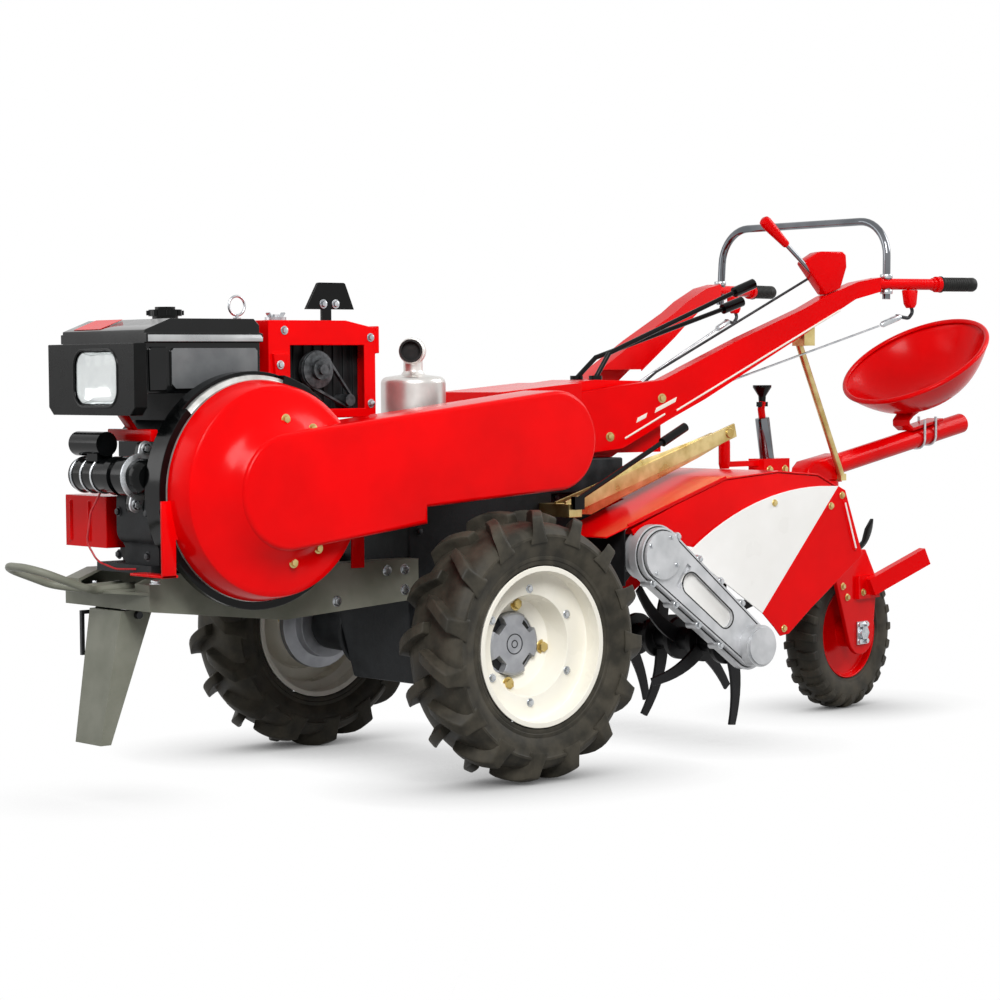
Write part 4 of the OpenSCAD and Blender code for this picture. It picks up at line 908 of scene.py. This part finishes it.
settle(hex_heads(14, dome), "seat_bolts", red_enamel, "chassis", 30)

# Seat stay
# A plated bar with a forked end, from the left arm down to the steering head.
# Its chromate is the uneven gold of the tiller lever.
dress(chromate, ["seat_stay"], 1.2)

# Tail wheel
# A red fork with broad cheeks and square foot bars, a red two-part rim and a road tyre with side blocks.
# The whole wheel stands turned a little to the left, as it was parked.
dress(red_enamel, ["tail_fork", "foot_bar", "tail_rim"], 2.5)
dress(zinc, ["tail_axle_bolt"], 1.0)
head = at(-1410, 0, 0)
parked = math.radians(8.6)
turn = Matrix.Translation(head) @ Matrix.Rotation(parked, 4, "Z") @ Matrix.Translation(-head)
tail_x, tail_r = -1466, 202
hub = at(tail_x, 0, tail_r)
half_tail = [(122.4, 30), (124, 36), (128, 40), (133, 40.6), (136, 42.4), (150, 45.4), (164, 46), (174, 44.6),
             (178, 42.4), (184, 38), (191, 30), (195, 20), (196.4, 8)]
carcass = spun(half_tail + [(r, -y) for r, y in reversed(half_tail)] + [half_tail[0]], hub, 96)


def tread_block(side):
    """One side block of the tail tyre, at the top of the wheel, rounded over the shoulder."""
    bpy.ops.object.select_all(action="DESELECT")
    bpy.ops.mesh.primitive_cube_add(size=2)
    piece = bpy.context.object
    bpy.ops.object.mode_set(mode="EDIT")
    bpy.ops.mesh.subdivide(number_cuts=4)
    bpy.ops.object.mode_set(mode="OBJECT")
    for point in piece.data.vertices:
        u, v, w = point.co
        along, up = (u + 1) / 2, (w + 1) / 2
        y = 3 + 44.5 * along ** 0.8 - 1.2 * up * along
        low = 180 - 14 * along ** 3
        high = tail_r - 2 * along - 16 * along ** 4
        radius = low + (high - low) * up
        lean = (v * (9.5 + 2 * (1 - up)) - 6 + 10 * along) / radius
        point.co = (radius * math.sin(lean) / 1000, side * y / 1000, radius * math.cos(lean) / 1000)
    outward(piece)
    bevelled(piece, 2, 2, 40)
    return piece


blocks = []
for side, first in ((1, 0), (-1, 7.5)):
    turns = [Matrix.Rotation(math.radians(first + 15 * i), 4, "Y") for i in range(24)]
    blocks.append(copied(tread_block(side), [Matrix.Translation(hub) @ step for step in turns]))
road = joined([carcass] + blocks)
road.matrix_world = turn
road = settle(road, "tail_road_tyre", rubber, "tail_wheel", 38)
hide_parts("tail_tyre")
fork_spots = both_sides([(-1400, 74, 300), (-1380, 74, 330), (-1500, 84, 335), (-1460, 84, 310)])
fork_bolts = hex_heads(12, fork_spots)
fork_bolts.matrix_world = turn @ fork_bolts.matrix_world
settle(fork_bolts, "fork_bolts", chromate, "tail_steer", 30)
horn_line = [(-1476, 421), (-1488, 413)] + arc(-1500, 500, 88, 262, 182, 10)
horn_line += [(-1560, 470), (-1546, 440), (-1520, 424)]
horn = outline_plate(horn_line, 22, 34, 2)
horn.matrix_world = turn
settle(horn, "lock_lever", black_enamel, "tail_steer")

# Floor and light
# A pale studio floor under a white sweep, with three large soft lamps.
# The eye sees the floor white, with a soft shade close under the machine.
bpy.ops.object.select_all(action="DESELECT")
bpy.ops.mesh.primitive_plane_add(size=60, location=(0, 0, 0))
floor = bpy.context.object
floor.name = "floor"


def seen_rays(tree):
    """One for rays that reach the eye straight, by a mirror or through glass, and zero for the others."""
    path = add(tree, "LightPath")
    looks = add(tree, "Math", {0: path.outputs["Is Camera Ray"], 1: path.outputs["Is Glossy Ray"]},
                operation="MAXIMUM")
    whole = add(tree, "Math", {0: looks.outputs[0], 1: path.outputs["Is Transmission Ray"]},
                operation="MAXIMUM")
    return whole.outputs[0]


sweep = bpy.data.materials.new("white_studio_floor")
sweep.use_nodes = True
tree = sweep.node_tree
tree.nodes.clear()
shade = add(tree, "AmbientOcclusion", {"Color": (1, 1, 1, 1), "Distance": 0.3}, samples=12)
seen = add(tree, "Emission", {"Color": shade.outputs["Color"], "Strength": 1.0})
matt = add(tree, "BsdfDiffuse", {"Color": (0.4, 0.4, 0.4, 1)})
mixed = add(tree, "MixShader", {0: seen_rays(tree), 1: matt.outputs[0], 2: seen.outputs[0]})
add(tree, "OutputMaterial", {"Surface": mixed.outputs[0]})
floor.data.materials.append(sweep)

world = bpy.data.worlds.new("white_studio")
bpy.context.scene.world = world
world.use_nodes = True
tree = world.node_tree
tree.nodes.clear()
ambient = add(tree, "Background", {"Color": (1, 1, 1, 1), "Strength": 0.24})
white = add(tree, "Background", {"Color": (1, 1, 1, 1), "Strength": 1.0})
mixed = add(tree, "MixShader", {0: seen_rays(tree), 1: ambient.outputs[0], 2: white.outputs[0]})
add(tree, "OutputWorld", {"Surface": mixed.outputs[0]})

lamps = [("key", (2.6, 3.6, 3.4), 2.0, 215), ("fill", (3.8, -2.4, 2.2), 2.4, 40),
         ("rear", (-3.6, 1.8, 3.0), 2.2, 90)]
for name, spot, width, watts in lamps:
    data = bpy.data.lights.new(name, "AREA")
    data.shape = "SQUARE"
    data.size = width
    data.energy = watts
    lamp = bpy.data.objects.new(name, data)
    bpy.context.scene.collection.objects.link(lamp)
    lamp.location = spot
    lamp.rotation_euler = (Vector((0, 0, 0.5)) - Vector(spot)).to_track_quat("-Z", "Y").to_euler()

# Camera
# A long lens at the left front, about as high as the fuel tank, where the photograph was taken from.
# Its place, its turn and its shift come from a fit to the photograph.
look = Vector((-0.6348539, -0.77065892, -0.05518465))
roll = -0.008715
right = look.cross(Vector((0, 0, 1))).normalized()
up = right.cross(look)
across = right * math.cos(roll) + up * math.sin(roll)
above = up * math.cos(roll) - right * math.sin(roll)
optics = bpy.data.cameras.new("camera")
optics.sensor_width = 36
optics.lens = 97.98
optics.shift_x = 0.0501
optics.shift_y = 0.0227
camera = bpy.data.objects.new("camera", optics)
bpy.context.scene.collection.objects.link(camera)
camera.matrix_world = (Matrix.Translation((4.36253, 4.89576, 0.89693))
                       @ Matrix((across, above, -look)).transposed().to_4x4())
bpy.context.scene.camera = camera
bpy.context.scene.view_settings.view_transform = "Standard"
